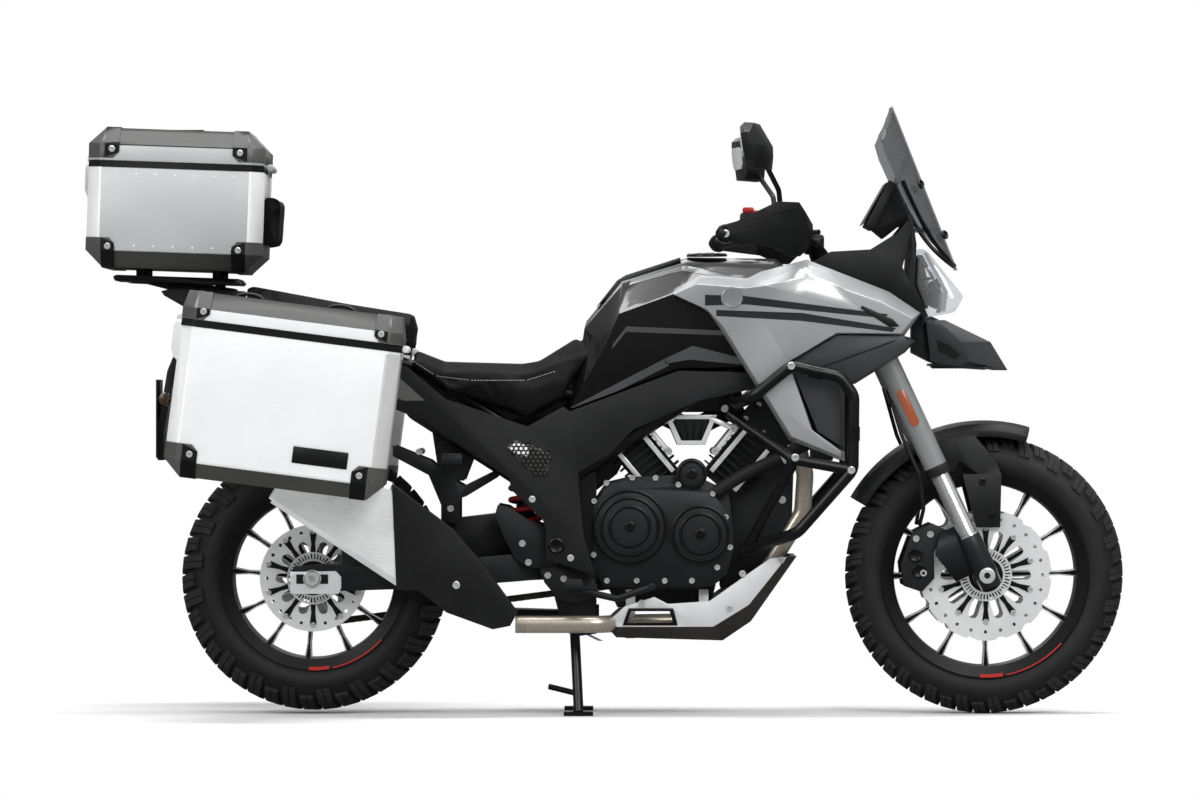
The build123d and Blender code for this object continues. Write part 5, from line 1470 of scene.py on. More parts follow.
    def carrier(self) -> None:
        """Rack without the stubs that the arms hide, and the two arms under the top plate."""
        rack = node_copy("luggage_rack")
        edit_all(rack)
        bpy.ops.mesh.select_all(action="DESELECT")
        bpy.ops.object.mode_set(mode="OBJECT")
        for vertex in rack.data.vertices:
            vertex.select = vertex.co.x < -1.04 and vertex.co.z < 0.99 and abs(vertex.co.y) < 0.06
        bpy.ops.object.mode_set(mode="EDIT")
        bpy.ops.mesh.delete(type="VERT")
        bpy.ops.mesh.select_all(action="SELECT")
        bpy.ops.mesh.fill_holes(sides=0)
        bpy.ops.object.mode_set(mode="OBJECT")
        dress(finish_edit(rack), "luggage_rack_tubes", BLACK_TUBE)
        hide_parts("luggage_rack")
        arms = [side_plate([(-1106, 1006), (-1062, 1004), (-985, 984), (-905, 958), (-850, 962),
                            (-850, 992), (-905, 1000), (-975, 1004), (-1050, 1012)],
                           side * 36, side * 44, 1.5) for side in (-1, 1)]
        dress(join(arms), "top_carrier_arms", BLACK_TUBE)

    def build(self) -> None:
        """Build all three cases' trims."""
        self.side_cases()
        self.top()
        self.carrier()


# ------------------------------------------------------------------ engine, drive and chassis
def up_cylinder(tilt_side: float, distance: float, across: float = 0.0) -> Flat:
    """Point (x, z) up a cylinder's axis from the crank, and across it."""
    lean = math.radians(CYLINDER_LEAN) * tilt_side
    return (CRANK_AT[0] + distance * math.sin(lean) + across * math.cos(lean),
            CRANK_AT[1] + distance * math.cos(lean) - across * math.sin(lean))


@dataclass
class Engine:
    """Cover rings and screws, the bright cross bars, intake covers, pipes and hoses."""

    screw_spots: tuple[Flat, ...] = (
        (16, 313), (85, 313), (150, 313), (213, 313), (272, 344), (302, 391), (292, 461),
        (262, 515), (182, 536), (129, 552), (75, 552), (15, 540), (-14, 498), (-15, 373))

    def covers(self) -> None:
        """Right and left crankcase covers."""
        softened("engine_covers", "engine_cover_castings", BLACK_CAST, 2.5, 2)
        softened("engine_case", "crankcase", BLACK_CAST, 3, 2)
        rings = []
        for x, z, radius, y in ((69, 439, 87, -138), (69, 439, 70, -142), (69, 439, 50, -142),
                                (233, 422, 68, -138), (233, 422, 50, -138), (213, 561, 34, -134)):
            rings.append(turned([(0, radius - 7), (0, radius), (3, radius - 0.8), (4, radius - 2.5),
                                 (4, radius - 5), (2.5, radius - 7)], (x, y, z), RIGHT, 64))
        dress(join(rings), "cover_raised_rings", BLACK_SATIN)
        plugs = [turned([(0, 0), (0, 12), (3, 12), (4, 10), (4, 5), (2, 4.6), (2, 0)], (x, y, z),
                        RIGHT, 24)
                 for x, z, y in ((69, 439, -142), (233, 422, -138), (213, 561, -134))]
        dress(join(plugs), "cover_plugs", BLACK_SATIN)
        screws([(x, -130, z) for x, z in self.screw_spots], RIGHT, 7, "cover_screws_right", 6)
        left = [(214 + 66 * math.cos(a), 134, 420 + 66 * math.sin(a))
                for a in (math.tau * n / 7 for n in range(7))]
        screws([*left, (20, 120, 300), (20, 120, 392), (92, 120, 346)], (0, 1, 0), 6.5,
               "cover_screws_left", 5)
        ribs = [arc_strip((214, 0, 420), 8 + 14 * n, 11 + 14 * n, 134, 136.5, 0, 350, 40)
                for n in range(4)]
        dress(join(ribs), "generator_cover_ribs", BLACK_SATIN)

    def cylinders(self) -> None:
        """Bars over the barrels, head screws, intake covers and plug leads."""
        bars = []
        for tilt_side in (-1, 1):
            for across in (-35, 35):
                line = [up_cylinder(tilt_side, d, across + w)
                        for d, w in ((110, -5.5), (110, 5.5), (232, 5.5), (232, -5.5))]
                bars.append(side_plate(line, -99, -102.5, 1.2))
        dress(mirrored(join(bars)), "cylinder_cross_bars", MACHINED)
        spots = []
        for tilt_side in (-1, 1):
            for d, a in ((256, -52), (256, 52), (300, -50), (300, 50), (326, 0), (256, 0)):
                x, z = up_cylinder(tilt_side, d, a)
                spots.append((x, -94, z))
        screws(spots, RIGHT, 6.5, "head_screws", 5, both=True)
        frame_side = side_plate([(150, 698), (272, 698), (244, 628), (180, 628)], -104, -110, 2)
        cut(frame_side, side_plate([(166, 688), (257, 688), (236, 638), (189, 638)], -90, -120, 0))
        dress(mirrored(frame_side), "intake_side_frames", MACHINED)
        webs = [side_plate([(175 + 22 * n, 688), (179 + 22 * n, 688), (194 + 12 * n, 638),
                            (190 + 12 * n, 638)], -103, -107, 0.6) for n in range(4)]
        dress(mirrored(join(webs)), "intake_side_webs", BLACK_SATIN)
        links = [bar([(x0, -112, z0), ((x0 + x1) / 2, -116, (z0 + z1) / 2), (x1, -112, z1)], 6,
                     3)
                 for x0, z0, x1, z1 in ((114, 667, 159, 613), (311, 667, 267, 613),
                                        (114, 667, 170, 690), (311, 667, 256, 690))]
        dress(mirrored(join(links)), "mount_link_bars", MACHINED)
        screws([(114, -118, 667), (311, -118, 667), (290, -118, 713), (159, -118, 613),
                (267, -118, 613)], RIGHT, 9, "mount_link_screws", 6, both=True)
        lead = [(up_cylinder(-1, 300)[0], -60, up_cylinder(-1, 300)[1]), (60, -108, 720),
                (120, -112, 740), (150, -70, 744)]
        other = [(2 * 213 - x, y, z) for x, y, z in lead]
        dress(join([bar(line, 4.5, 3) for line in (lead, other)]), "plug_leads", SOFT_RUBBER)
        hose = bar([(500, -140, 640), (452, -150, 618), (400, -148, 590), (330, -140, 560),
                    (270, -128, 520)], 15, 5)
        dress(hose, "coolant_hose", SOFT_RUBBER)
        clip = turned([(-6, 14.9), (-6, 17), (6, 17), (6, 14.9)], (424, -149, 602),
                      (-0.87, 0, -0.48), 28)
        dress(clip, "hose_clip", BOLT_STEEL)

    def exhaust(self) -> None:
        """Silencer shell, shield, end trim, outlet and shield screw."""
        softened("muffler", "silencer_shell", BRUSHED_SHEET, 9, 4)
        softened("heat_shield", "silencer_shield", BLACK_ABS, 5, 3)
        end = side_plate([(-773, 504), (-760, 495), (-690, 605), (-701, 612)], -150, -230, 2)
        dress(end, "silencer_end_trim", BLACK_SATIN)
        outlet = turned([(0, 0), (0, 22), (16, 22), (16, 18), (3, 18), (3, 0)], (-748, -190, 566),
                        (-0.85, 0, 0.5), 32)
        dress(outlet, "silencer_outlet", BLACK_SATIN)
        screws([(-331, -238, 306)], RIGHT, 9, "shield_screws", 5)

    def cooling(self) -> None:
        """Radiator tubes, fins and end tanks."""
        slats = [box((535.5, -150, 600 + 7 * n), (538.5, 150, 602 + 7 * n), 0) for n in range(28)]
        dress(join(slats), "radiator_tubes", CORE_BLACK)
        fins = [box((536, y, 600), (537.6, y + 1, 792), 0) for y in range(-147, 153, 6)]
        dress(join(fins), "radiator_fins", CORE_BLACK)
        tanks = join([box((496, s * 146, 592), (540, s * 162, 802), 4) for s in (-1, 1)])
        dress(tanks, "radiator_end_tanks", BLACK_CAST)

    def skid(self) -> None:
        """Skid plate with its window frame, lower band and screws."""
        softened("skid_plate", "skid_plate_sheet", BARE_CAST, 2.2, 2)
        window = side_plate([(52, 210), (66, 250), (170, 250), (180, 210)], -150, -152.5, 1)
        cut(window, side_plate([(62, 216), (72, 243), (162, 243), (169, 216)], -140, -160, 0))
        dress(mirrored(window), "skid_window_frames", BLACK_SATIN)
        bands = [skin_of("skid_plate", outline, 0.8) for outline in (
            [(8, 207), (262, 207), (284, 170), (30, 170)],
            [(262, 207), (345, 258), (366, 222), (284, 170)],
            [(345, 258), (436, 372), (462, 372), (366, 222)])]
        dress(join(bands), "skid_lower_bands", BRONZE_BLACK)
        screws([(96, -150, 262), (330, -150, 330), (420, -150, 362), (300, -150, 250)], RIGHT,
               8, "skid_screws", 5, both=True)

    def guards(self) -> None:
        """Clamp screws and joint sleeves of the crash bars."""
        screws([(449, -259, 600), (578, -259, 571), (440, -259, 811)], RIGHT, 9,
               "crash_bar_screws", 6, both=True)
        sleeves = [turned([(-16, 12.4), (-16, 15.4), (16, 15.4), (16, 12.4)], point, axis, 28)
                   for point, axis in (((583, -246, 655), (0.01, 0, 1)),
                                       ((497, -246, 797), (1, 0, -0.22)))]
        dress(mirrored(join(sleeves)), "crash_bar_sleeves", BLACK_SATIN)

    def build(self) -> None:
        """Build the engine's fittings and what surrounds it."""
        self.covers()
        self.cylinders()
        self.exhaust()
        self.cooling()
        self.skid()
        self.guards()


@dataclass
class Chassis:
    """Chain links, rear spring, footrests, swing arm and the stands' spring."""

    pitch: float = 15.875

    def chain(self) -> None:
        """Roller chain, link by link round both sprockets."""
        front, rear = Vector((30, 345)), Vector((REAR_AXLE[0], REAR_AXLE[2]))
        small, large = 51.0, 113.0
        line = rear - front
        reach = line.length
        lean = math.acos((small - large) / reach)
        base = math.atan2(line.y, line.x)
        route = []
        up, down = base - lean, base + lean
        for centre, radius, start, stop in ((front, small, down, up + math.tau),
                                            (rear, large, up, down)):
            if stop < start:
                stop += math.tau
            turns = [start + (stop - start) * n / 40 for n in range(41)]
            route += [centre + radius * Vector((math.cos(a), math.sin(a))) for a in turns]
        route.append(route[0])
        length = sum((b - a).length for a, b in zip(route, route[1:]))
        count = round(length / self.pitch / 2) * 2
        spots, step, walked, target = [], length / count, 0.0, 0.0
        for a, b in zip(route, route[1:]):
            run = (b - a).length
            while target < walked + run and len(spots) < count:
                spots.append(a + (b - a) * ((target - walked) / run))
                target += step
            walked += run
        places: dict[int, list[Matrix]] = {0: [], 1: []}
        for number, here in enumerate(spots):
            there = spots[(number + 1) % count]
            middle, run = (here + there) / 2, there - here
            turn = Matrix.Rotation(-math.atan2(run.y, run.x), 4, "Y")
            spot = Matrix.Translation(Vector((middle.x, 95, middle.y)) * MM)
            places[number % 2].append(spot @ turn)
        half = [(-12.6, 2.6), (-10, 6), (-5, 6.4), (0, 4.6), (5, 6.4), (10, 6), (12.6, 2.6)]
        outline = half + [(-x, -z) for x, z in half]
        links = []
        for kind, gap in ((0, 8.4), (1, 6.4)):
            plates = [side_plate(outline, s * gap, s * (gap + 1.8), 0) for s in (-1, 1)]
            links.append(copies(join(plates), places[kind]))
        dress(join(links), "drive_chain_links", CHAIN_STEEL)

    def spring(self) -> None:
        """Rear spring wound round its damper."""
        coil = []
        for n in range(7 * 12 + 1):
            angle = math.tau * n / 12
            coil.append((-174 + 36 * math.cos(angle), 36 * math.sin(angle), 402 + n * 2.3))
        wire = bar(coil, 6.5, 4)
        dress(wire, "rear_spring", RED_PAINT)
        body = turned([(0, 0), (0, 24), (20, 24), (24, 40), (30, 40), (34, 22), (150, 22),
                       (154, 12), (200, 12), (206, 40), (212, 40), (216, 22), (250, 22), (250, 0)],
                      (-176, 0, 382), (0.02, 0, 1), 40)
        dress(body, "rear_damper", BLACK_SATIN)
        eye = turned([(-30, 0), (-30, 18), (30, 18), (30, 0)], (-170, 0, 640), (0, 1, 0), 28)
        dress(rounded(eye, 2), "rear_damper_eye", BLACK_CAST)
        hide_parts("shock")

    def feet(self) -> None:
        """Ribbed footrest rubbers, bracket screws, footrest brackets, swing arm and pivot caps."""
        rider = [(-80, 313), (-78, 318), (-42, 318), (-40, 313)]
        pillion = [(-365, 603), (-363, 608), (-321, 608), (-319, 603)]
        ribs = []
        for side in (-1, 1):
            for section, first, pitch in ((rider, 168, 11), (pillion, 166, 10)):
                for y in (side * (first + pitch * n) for n in range(7)):
                    ribs.append(side_plate(section, y, y + 5, 1))
        dress(join(ribs), "footrest_rubbers", SOFT_RUBBER)
        screws([(-180, -145, 400), (-166, -145, 356), (-121, -137, 326), (-84, -137, 318),
                (-347, -120, 480), (-420, -120, 612), (-340, -120, 640)], RIGHT, 8,
               "bracket_screws", 5, both=True)
        softened("foot_controls", "footrest_brackets", BLACK_CAST, 2, 2)
        softened("swing_arm", "swing_arm_beams", BLACK_CAST, 4, 3)
        pivot = turned([(0, 9), (0, 24), (4, 24), (7, 20), (7, 9)], steps=32)
        dress(paired(pivot, (-60, 125, 345), (0, 1, 0)), "pivot_caps", BOLT_STEEL)

    def stands(self) -> None:
        """Return spring of the stands."""
        coil = [(-60 + 60 * n / 120 + 5 * math.cos(math.tau * n / 6),
                 96 + 5 * math.sin(math.tau * n / 6), 196 - 30 * n / 120) for n in range(121)]
        dress(bar(coil, 1.2, 1), "stand_spring", BOLT_STEEL)

    def build(self) -> None:
        """Build the chassis fittings."""
        self.chain()
        self.spring()
        self.feet()
        self.stands()


# ------------------------------------------------------------------ fork, cockpit and lamps
def fork_point(up: float, ahead: float, y: float) -> Vector:
    """Point in the steering plane: height up the axis, distance ahead of it and y."""
    sine, cosine = math.sin(RAKE), math.cos(RAKE)
    foot = Vector((FRONT_AXLE[0] - FORK_OFFSET * cosine, y, FRONT_AXLE[2] - FORK_OFFSET * sine))
    return foot + Vector((-sine, 0, cosine)) * up + Vector((cosine, 0, sine)) * ahead


@dataclass
class Fork:
    """Fork legs' seals, caps and feet, reflectors, calipers' parts and clamp screws."""

    leg_y: float = 108.0

    def on_legs(self, rows: Sequence[Flat], up: float, steps: int, name: str,
                finish: Finish) -> None:
        """Turned part on both legs, at a height up the fork.

        Args:
            rows: Closed profile of (along, radius) rows.
            up: Height of its start up the fork.
            steps: Facets round the axis.
            name: Plain name.
            finish: Its surface.
        """
        axis = (-math.sin(RAKE), 0, math.cos(RAKE))
        made = [turned(rows, fork_point(up, FORK_OFFSET, side * self.leg_y), axis, steps)
                for side in (-1, 1)]
        dress(join(made), name, finish, "steering")

    def build(self) -> None:
        """Fit out both legs."""
        softened("fork_legs", "fork_lower_legs", CHROME, 1.5, 2)
        softened("front_calipers", "caliper_castings", BLACK_CAST, 5, 3)
        lug = skin_of("fork_legs", [(764, 452), (812, 452), (846, 398), (884, 336), (840, 285),
                                    (764, 320)], 0.6)
        dress(lug, "caliper_lugs", BLACK_CAST, "steering")
        self.on_legs([(0, 22.4), (0, 28.6), (12, 29.4), (18, 29.4), (22, 27.8), (22, 22.4)],
                     258, 40, "fork_seals", SOFT_RUBBER)
        self.on_legs([(0, 0), (0, 24), (6, 24), (9, 21), (9, 10), (13, 9), (13, 0)],
                     800, 24, "fork_caps", BLACK_SATIN)
        self.on_legs([(-30, 23), (-30, 27.5), (36, 29), (70, 27.5), (99, 26.6), (106, 22.4)],
                     0, 40, "fork_feet", BLACK_CAST)
        low, high = fork_point(392, 38, 0), fork_point(468, 38, 0)
        slope = (high - low).normalized()
        wide = Vector((slope.z, 0, -slope.x)) * 11
        ring = [low - wide, high - wide, high - wide * 0.5 + slope * 8,
                high + wide * 0.5 + slope * 8, high + wide, low + wide,
                low + wide * 0.5 - slope * 8, low - wide * 0.5 - slope * 8]
        lens = side_plate([(p.x, p.z) for p in ring], -133, -137, 1.5)
        dress(mirrored(lens), "fork_reflectors", AMBER_LENS, "steering")
        pins = [(735, -96, 410), (752, -96, 330), (768, -96, 420)]
        screws(pins, RIGHT, 8, "caliper_screws", 6, body="steering", both=True)
        pistons = [turned([(0, 0), (0, 17), (3, 17), (5, 14), (3, 11), (3, 0)], (x, -96, z),
                          RIGHT, 28) for x, z in ((733, 372), (742, 335))]
        dress(mirrored(join(pistons)), "caliper_piston_caps", BLACK_SATIN, "steering")
        pinch = [fork_point(up, FORK_OFFSET + 36, side * self.leg_y) for side in (-1, 1)
                 for up in (574, 591, 780)]
        screws(pinch, (0.9, 0, 0.42), 6, "clamp_screws", 5, body="steering")


@dataclass
class Cockpit:
    """Grips, levers, switches, guards' ridges, mirror glass, screen frame and display."""

    start: Point = (285, -445, 1110)
    knee: Point = (410, -205, 1134)

    def run(self, share: float) -> Vector:
        """Point along the grip's straight."""
        return Vector(self.start).lerp(Vector(self.knee), share)

    def grips(self) -> None:
        """Ribbed rubber grips with end weights."""
        axis = Vector(self.knee) - Vector(self.start)
        rows: list[Flat] = [(0, 11)]
        for n in range(24):
            rows += [(4 * n, 16.2), (4 * n + 2.4, 17.0), (4 * n + 3.2, 16.2)]
        rows += [(98, 20), (104, 20), (104, 11)]
        grip = turned(rows, self.run(0.05), axis, 28)
        dress(mirrored(grip), "bar_grips", SOFT_RUBBER, "steering")
        weight = turned([(-18, 0), (-18, 17), (-13, 21), (3, 22), (8, 19), (8, 0)], self.start,
                        (0, 1, 0), 32)
        dress(mirrored(weight), "bar_end_weights", BLACK_SATIN, "steering")

    def controls(self) -> None:
        """Levers, reservoirs, switch boxes and cables."""
        lever = bar([(402, -232, 1136), (424, -262, 1132), (420, -330, 1122), (396, -400, 1112),
                     (392, -424, 1110)], 6, 3, (1.1, 1.2, 1.0, 0.9, 1.2))
        dress(mirrored(lever), "hand_levers", BLACK_SATIN, "steering")
        boxes = join([box((372, -262, 1118), (412, -214, 1160), 7),
                      box((405, -236, 1120), (432, -206, 1150), 6)])
        dress(mirrored(boxes), "switch_boxes", DARK_ABS, "steering")
        knobs = join([box((328, -256, 1163), (354, -234, 1176), 4),
                      box((350, -254, 1160), (366, -238, 1169), 3)])
        dress(knobs, "stop_switch", RED_PAINT, "steering")
        housing = box((322, -262, 1116), (372, -228, 1164), 7)
        dress(housing, "right_switch_housing", DARK_ABS, "steering")
        tank = turned([(0, 0), (0, 22), (26, 24), (30, 22), (33, 16), (33, 0)], (430, -190, 1138),
                      (0.1, 0, 1), 32)
        dress(tank, "brake_reservoir", DARK_ABS, "steering")
        wires = [bar([(420, s * 215, 1128), (470, s * 170, 1118), (530, s * 90, 1080),
                      (560, s * 40, 1020)], 4, 3) for s in (-1, 1)]
        dress(join(wires), "switch_wires", SOFT_RUBBER, "steering")
        softened("handlebar", "handlebar_tube", BLACK_SATIN, 1.2, 2)

    def guards(self) -> None:
        """Hand guards with three moulded ridges each."""
        softened("hand_guards", "hand_guard_shells", DARK_ABS, 2.5, 2)
        ridges = []
        for n in range(3):
            rings = []
            for x, z in ((300 + 26 * n, 1110 + 16 * n), (360 + 14 * n, 1128 + 13 * n),
                         (440, 1146 + 9 * n)):
                y = -self.guard_y(x)
                rings.append([(x - 2, y - 1.6, z - 2), (x + 2, y - 1.6, z + 1),
                              (x + 2, y + 2, z + 1), (x - 2, y + 2, z - 2)])
            ridges.append(lofted(rings))
        dress(mirrored(join(ridges)), "hand_guard_ridges", BLACK_ABS, "steering")
        screws([(285, -463.5, 1110)], RIGHT, 9, "guard_end_screws", 5, body="steering", both=True)

    def guard_y(self, x: float) -> float:
        """How far out the guard's outer face is at this x."""
        for (x0, y0), (x1, y1) in (((268, 461), (380, 472)), ((380, 472), (468, 420))):
            if x <= x1:
                return y0 + (y1 - y0) * (x - x0) / (x1 - x0)
        return 420.0

    def mirrors(self) -> None:
        """Mirror housings and their glass."""
        softened("mirrors", "mirror_housings", DARK_ABS, 5, 3)
        glass = lofted([[(x + back, y, z) for back, z in ((9, low), (3, low), (3 + lean, high),
                                                          (9 + lean, high))]
                        for y, x, low, high, lean in ((-350, 337, 1298, 1330, -4),
                                                      (-368, 333, 1286, 1338, -6),
                                                      (-440, 320, 1286, 1338, -6),
                                                      (-456, 317, 1300, 1328, -3))])
        dress(mirrored(glass), "mirror_glass", MIRROR_GLASS, "steering")

    def screen(self) -> None:
        """Black lower frame of the windscreen, its bosses and the display."""
        frame_bar = []
        for side in (-1, 1):
            frame_bar.append(bar([(828, side * 28, 1046), (800, side * 80, 1070),
                                  (765, side * 128, 1112), (728, side * 170, 1176),
                                  (700, side * 178, 1240)], 5, 4))
        dress(join(frame_bar), "screen_lower_frame", BLACK_SATIN)
        boss = turned([(0, 0), (0, 11), (3, 11), (5, 9), (2, 6), (2, 0)], steps=28)
        spots = [facing((x, s * y, z), (0.7, s * 0.6, 0.3)) for s in (-1, 1)
                 for x, y, z in ((742, 152, 1232), (800, 104, 1116))]
        dress(copies(boss, spots), "screen_bosses", BLACK_SATIN)
        softened("cockpit_cowl", "cockpit_cowl_shell", BLACK_ABS, 1.6, 2)
        face = lofted([[(611, -96, 1143), (611, 96, 1143), (613, 96, 1142), (613, -96, 1142)],
                       [(665, -96, 1238), (665, 96, 1238), (667, 96, 1237), (667, -96, 1237)]])
        dress(face, "display_glass", TANK_BLACK)

    def build(self) -> None:
        """Build the cockpit."""
        self.grips()
        self.controls()
        self.guards()
        self.mirrors()
        self.screen()


@dataclass
class Lamps:
    """Headlight with its reflectors and light bars, tail lamp, indicators and plate."""

    def headlight(self) -> Piece:
        """Clear shell over two reflectors in a dark bowl."""
        middle = [(762, 1082), (849, 974), (828, 937), (764, 926), (734, 1000), (740, 1086)]
        edge = [(752, 1070), (800, 980), (796, 944), (762, 930), (734, 1000), (738, 1074)]
        rows = [(-110, edge), (-45, middle), (45, middle), (110, edge)]
        shell = lofted([[(x, y, z) for x, z in ring] for y, ring in rows])
        dress(rounded(shell, 7, 3, 20), "headlight_lens", LENS_CLEAR)
        edge = [(748, 1060), (758, 1010), (758, 950), (742, 950), (738, 1060)]
        middle = [(752, 1072), (768, 1010), (768, 946), (744, 946), (740, 1072)]
        rows = [(-104, edge), (0, middle), (104, edge)]
        bowl = lofted([[(x, y, z) for x, z in ring] for y, ring in rows])
        dress(rounded(bowl, 3), "headlight_bowl", DARK_ABS)
        cup = turned([(0, 6), (4, 18), (14, 30), (26, 35), (28, 36), (26, 37), (12, 32), (0, 20)],
                     steps=40)
        dress(paired(cup, (764, 44, 985), (1, 0, -0.1)), "headlight_reflectors", REFLECTOR)
        globe = turned([(0, 0), (0, 15), (8, 16), (15, 12), (18, 0)], steps=32)
        dress(paired(globe, (766, 44, 985), (1, 0, -0.1)), "headlight_projectors", LAMP_WHITE)
        strips = [bar([(772, s * 100, 1046), (800, s * 62, 1022), (824, s * 20, 972)], 3.2, 3)
                  for s in (-1, 1)]
        dress(join(strips), "running_light_bars", LAMP_WHITE)
        slats = [box((745, side * 107 - 2, z), (reach, side * 107 + 2, z + 6), 1)
                 for side in (-1, 1) for z, reach in ((1040, 762), (1012, 776), (984, 790))]
        dress(join(slats), "headlight_dark_slats", DARK_ABS)
        surround = [lofted([[(x, s * 112, z), (end, s * 112, z), (end, s * 104, z), (x, s * 104, z)]
                            for x, end, z in ((752, 760, 1074), (798, 808, 984), (792, 802, 938))])
                    for s in (-1, 1)]
        dress(join(surround), "headlight_side_trims", SILVER_LACQUER)
        return shell

    def rear(self) -> None:
        """Tail lamp, indicators and blank plate."""
        lens = side_plate([(-1012, 762), (-1004, 796), (-984, 796), (-990, 762)], -60, 60, 4, 3)
        dress(lens, "tail_lamp_lens", RED_LENS)
        body = turned([(0, 0), (0, 13), (6, 15), (30, 15), (34, 12), (34, 0)], steps=28)
        dress(paired(body, (-1008, 90, 730), (0, 1, 0.1)), "indicator_bodies", DARK_ABS)
        tip = turned([(0, 0), (0, 15), (16, 15), (22, 11), (24, 0)], steps=28)
        dress(paired(tip, (-1008, 125, 733.4), (0, 1, 0.1)), "indicator_lenses", SMOKED_AMBER)
        plate = box((-1032.5, -90, 596), (-1030.3, 90, 700), 0.8)
        dress(plate, "blank_number_plate", PALE_LACQUER)

    def build(self) -> None:
        """Build every lamp."""
        shell = self.headlight()
        self.rear()
        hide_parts("lamps")


ASSEMBLIES: tuple[type, ...] = (Tyres, Wheels, Bodywork, Pads, Cases, Engine, Chassis, Fork,
                                Cockpit, Lamps)


# ------------------------------------------------------------------ plain nodes
NODES_BY_FINISH: tuple[tuple[Surface, str], ...] = (
    (TYRE_RUBBER, "front_tyre rear_tyre"),
    (WHEEL_BLACK, "front_rim rear_rim"),
    (ROTOR_STEEL, "front_discs rear_disc_sprocket"),
    (FORK_GREY, "fork_upper"),
    (CHROME, "fork_legs"),
    (BLACK_CAST, "front_calipers engine_case engine_cylinders engine_covers swing_arm "
                 "foot_controls"),
    (BLACK_ABS, "front_fender side_covers cockpit_cowl rear_hugger tail_unit"),
    (BLACK_TUBE, "handlebar main_frame shock crash_bars luggage_rack centre_stand side_stand"),
    (DARK_ABS, "hand_guards mirrors heat_shield"),
    (SOFT_RUBBER, "brake_hoses"),
    (CHAIN_STEEL, "chain"),
    (CORE_BLACK, "radiator"),
    (HEATED_STEEL, "exhaust_pipes"),
    (BRUSHED_SHEET, "muffler"),
    (BARE_CAST, "skid_plate"),
    (TANK_BLACK, "fuel_tank"),
    (SEAT_VINYL, "seat backrest"),
    (SILVER_LACQUER, "side_panels"),
    (GREY_ABS, "lower_fairings"),
    (LENS_CLEAR, "lamps"),
    (SCREEN_TINT, "windscreen"),
    (GREY_LACQUER, "beak"),
    (CASE_SHEET, "pannier_boxes top_case top_case_lid pannier_lid_right pannier_lid_left"),
)


def dress_nodes() -> None:
    """Give every CAD node the finish of what it is."""
    for finish, nodes in NODES_BY_FINISH:
        for node in nodes.split():
            piece = frame["nodes"][node]
            piece.data.materials.clear()
            piece.data.materials.append(finish.material())


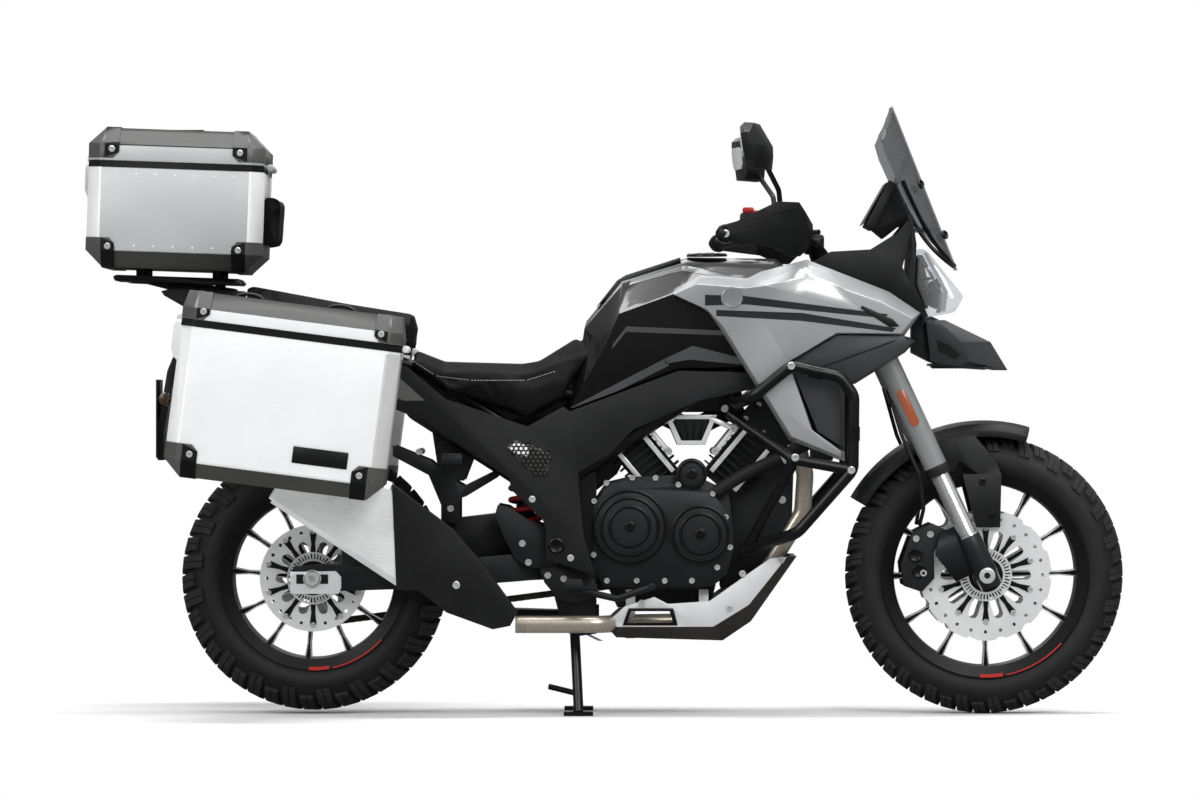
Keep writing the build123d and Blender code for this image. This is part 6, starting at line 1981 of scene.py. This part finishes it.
# ------------------------------------------------------------------ studio
@dataclass
class Studio:
    """Pale floor, soft lamps and the camera level with the middle of the bike.

    The floor turns to pure white between fade_from and fade_to, in metres from its centre.
    """

    distance: float = 15000.0
    eye_height: float = 732.4
    mm_per_pixel: float = 2.34
    picture_width: int = 1200
    sensor: float = 36.0
    fade_from: float = 0.75
    fade_to: float = 1.5

    def floor(self) -> None:
        """Lay a wide pale floor that keeps the bike's shadow."""
        clear_selection()
        bpy.ops.mesh.primitive_plane_add(size=60)
        ground = bpy.context.object
        ground.name = "studio_floor"
        paint, tree = new_material("studio_floor_white")
        path = add_node(tree, "LightPath")
        seen = add_node(tree, "Math", {"operation": "MAXIMUM"},
                        {0: path.outputs["Is Glossy Ray"], 1: path.outputs["Is Transmission Ray"]})
        matt = add_node(tree, "BsdfDiffuse", {"Color": linear("f8f8f8")})
        glow = add_node(tree, "Emission", {"Color": linear("f4f4f4"), "Strength": 0.12})
        near = add_node(tree, "MixShader", {},
                        {0: seen.outputs[0], 1: matt.outputs[0], 2: glow.outputs[0]})
        place = add_node(tree, "TexCoord")
        squashed = add_node(tree, "VectorMath", {"operation": "MULTIPLY", 1: (0.5, 1, 1)},
                            {0: place.outputs["Object"]})
        away = add_node(tree, "VectorMath", {"operation": "LENGTH"},
                        {0: squashed.outputs["Vector"]})
        fade = add_node(tree, "MapRange", {"From Min": self.fade_from, "From Max": self.fade_to},
                        {"Value": away.outputs["Value"]})
        far = add_node(tree, "Math", {"operation": "MULTIPLY"},
                       {0: fade.outputs["Result"], 1: path.outputs["Is Camera Ray"]})
        white = add_node(tree, "Emission", {"Color": (1, 1, 1, 1), "Strength": 1.0})
        both = add_node(tree, "MixShader", {},
                        {0: far.outputs[0], 1: near.outputs[0], 2: white.outputs[0]})
        add_node(tree, "OutputMaterial", {}, {"Surface": both.outputs[0]})
        ground.data.materials.append(paint)

    def sky(self) -> None:
        """White surround for the camera and for glossy reflections."""
        world = bpy.data.worlds.new("studio_world")
        bpy.context.scene.world = world
        world.use_nodes = True
        tree = world.node_tree
        tree.nodes.clear()
        path = add_node(tree, "LightPath")
        place = add_node(tree, "TexCoord")
        height = add_node(tree, "SeparateXYZ", {}, {"Vector": place.outputs["Generated"]})
        dome = add_node(tree, "MapRange",
                        {"From Min": 0.05, "From Max": 0.8, "To Min": 0.16, "To Max": 0.6},
                        {"Value": height.outputs["Z"]})
        strength = add_node(tree, "Math", {"operation": "MAXIMUM"},
                            {0: dome.outputs["Result"], 1: path.outputs["Is Camera Ray"]})
        back = add_node(tree, "Background", {"Color": (1, 1, 1, 1)},
                        {"Strength": strength.outputs[0]})
        add_node(tree, "OutputWorld", {}, {"Surface": back.outputs[0]})

    def lamps(self) -> None:
        """Three broad soft boxes and a long strip overhead."""
        for name, place, size, power, aim in (
            ("key_box", (2.4, -4.6, 4.2), (3.2, 2.4), 170, (0, 0, 0.6)),
            ("fill_box", (-3.6, -4.4, 3.4), (3.0, 2.2), 100, (0, 0, 0.7)),
            ("top_strip", (0.0, 0.0, 4.6), (4.4, 1.2), 190, (0, 0, 0.5)),
            ("back_box", (-1.0, 4.6, 3.2), (4.0, 2.4), 40, (0, 0, 0.6)),
        ):
            data = bpy.data.lights.new(name, "AREA")
            data.shape = "RECTANGLE"
            data.size, data.size_y = size
            data.energy = power
            lamp = bpy.data.objects.new(name, data)
            lamp.location = place
            turn = (Vector(aim) - Vector(place)).to_track_quat("-Z", "Y")
            lamp.rotation_euler = turn.to_euler()
            bpy.context.scene.collection.objects.link(lamp)

    def camera(self) -> None:
        """Stand the camera square to the bike's right side."""
        data = bpy.data.cameras.new("side_camera")
        data.sensor_width = self.sensor
        data.lens = self.sensor * self.distance / (self.picture_width * self.mm_per_pixel)
        data.clip_end = 100
        eye = bpy.data.objects.new("side_camera", data)
        eye.location = (0, -self.distance * MM, self.eye_height * MM)
        eye.rotation_euler = (math.radians(90), 0, 0)
        bpy.context.scene.collection.objects.link(eye)
        bpy.context.scene.camera = eye

    def build(self) -> None:
        """Set up the whole studio."""
        self.floor()
        self.sky()
        self.lamps()
        self.camera()
        bpy.context.scene.view_settings.view_transform = "Standard"


def main() -> None:
    logging.basicConfig(level=logging.INFO, format="%(name)s %(message)s")
    Studio().build()
    dress_nodes()
    for assembly in ASSEMBLIES:
        assembly().build()


if __name__ == "__main__":
    main()
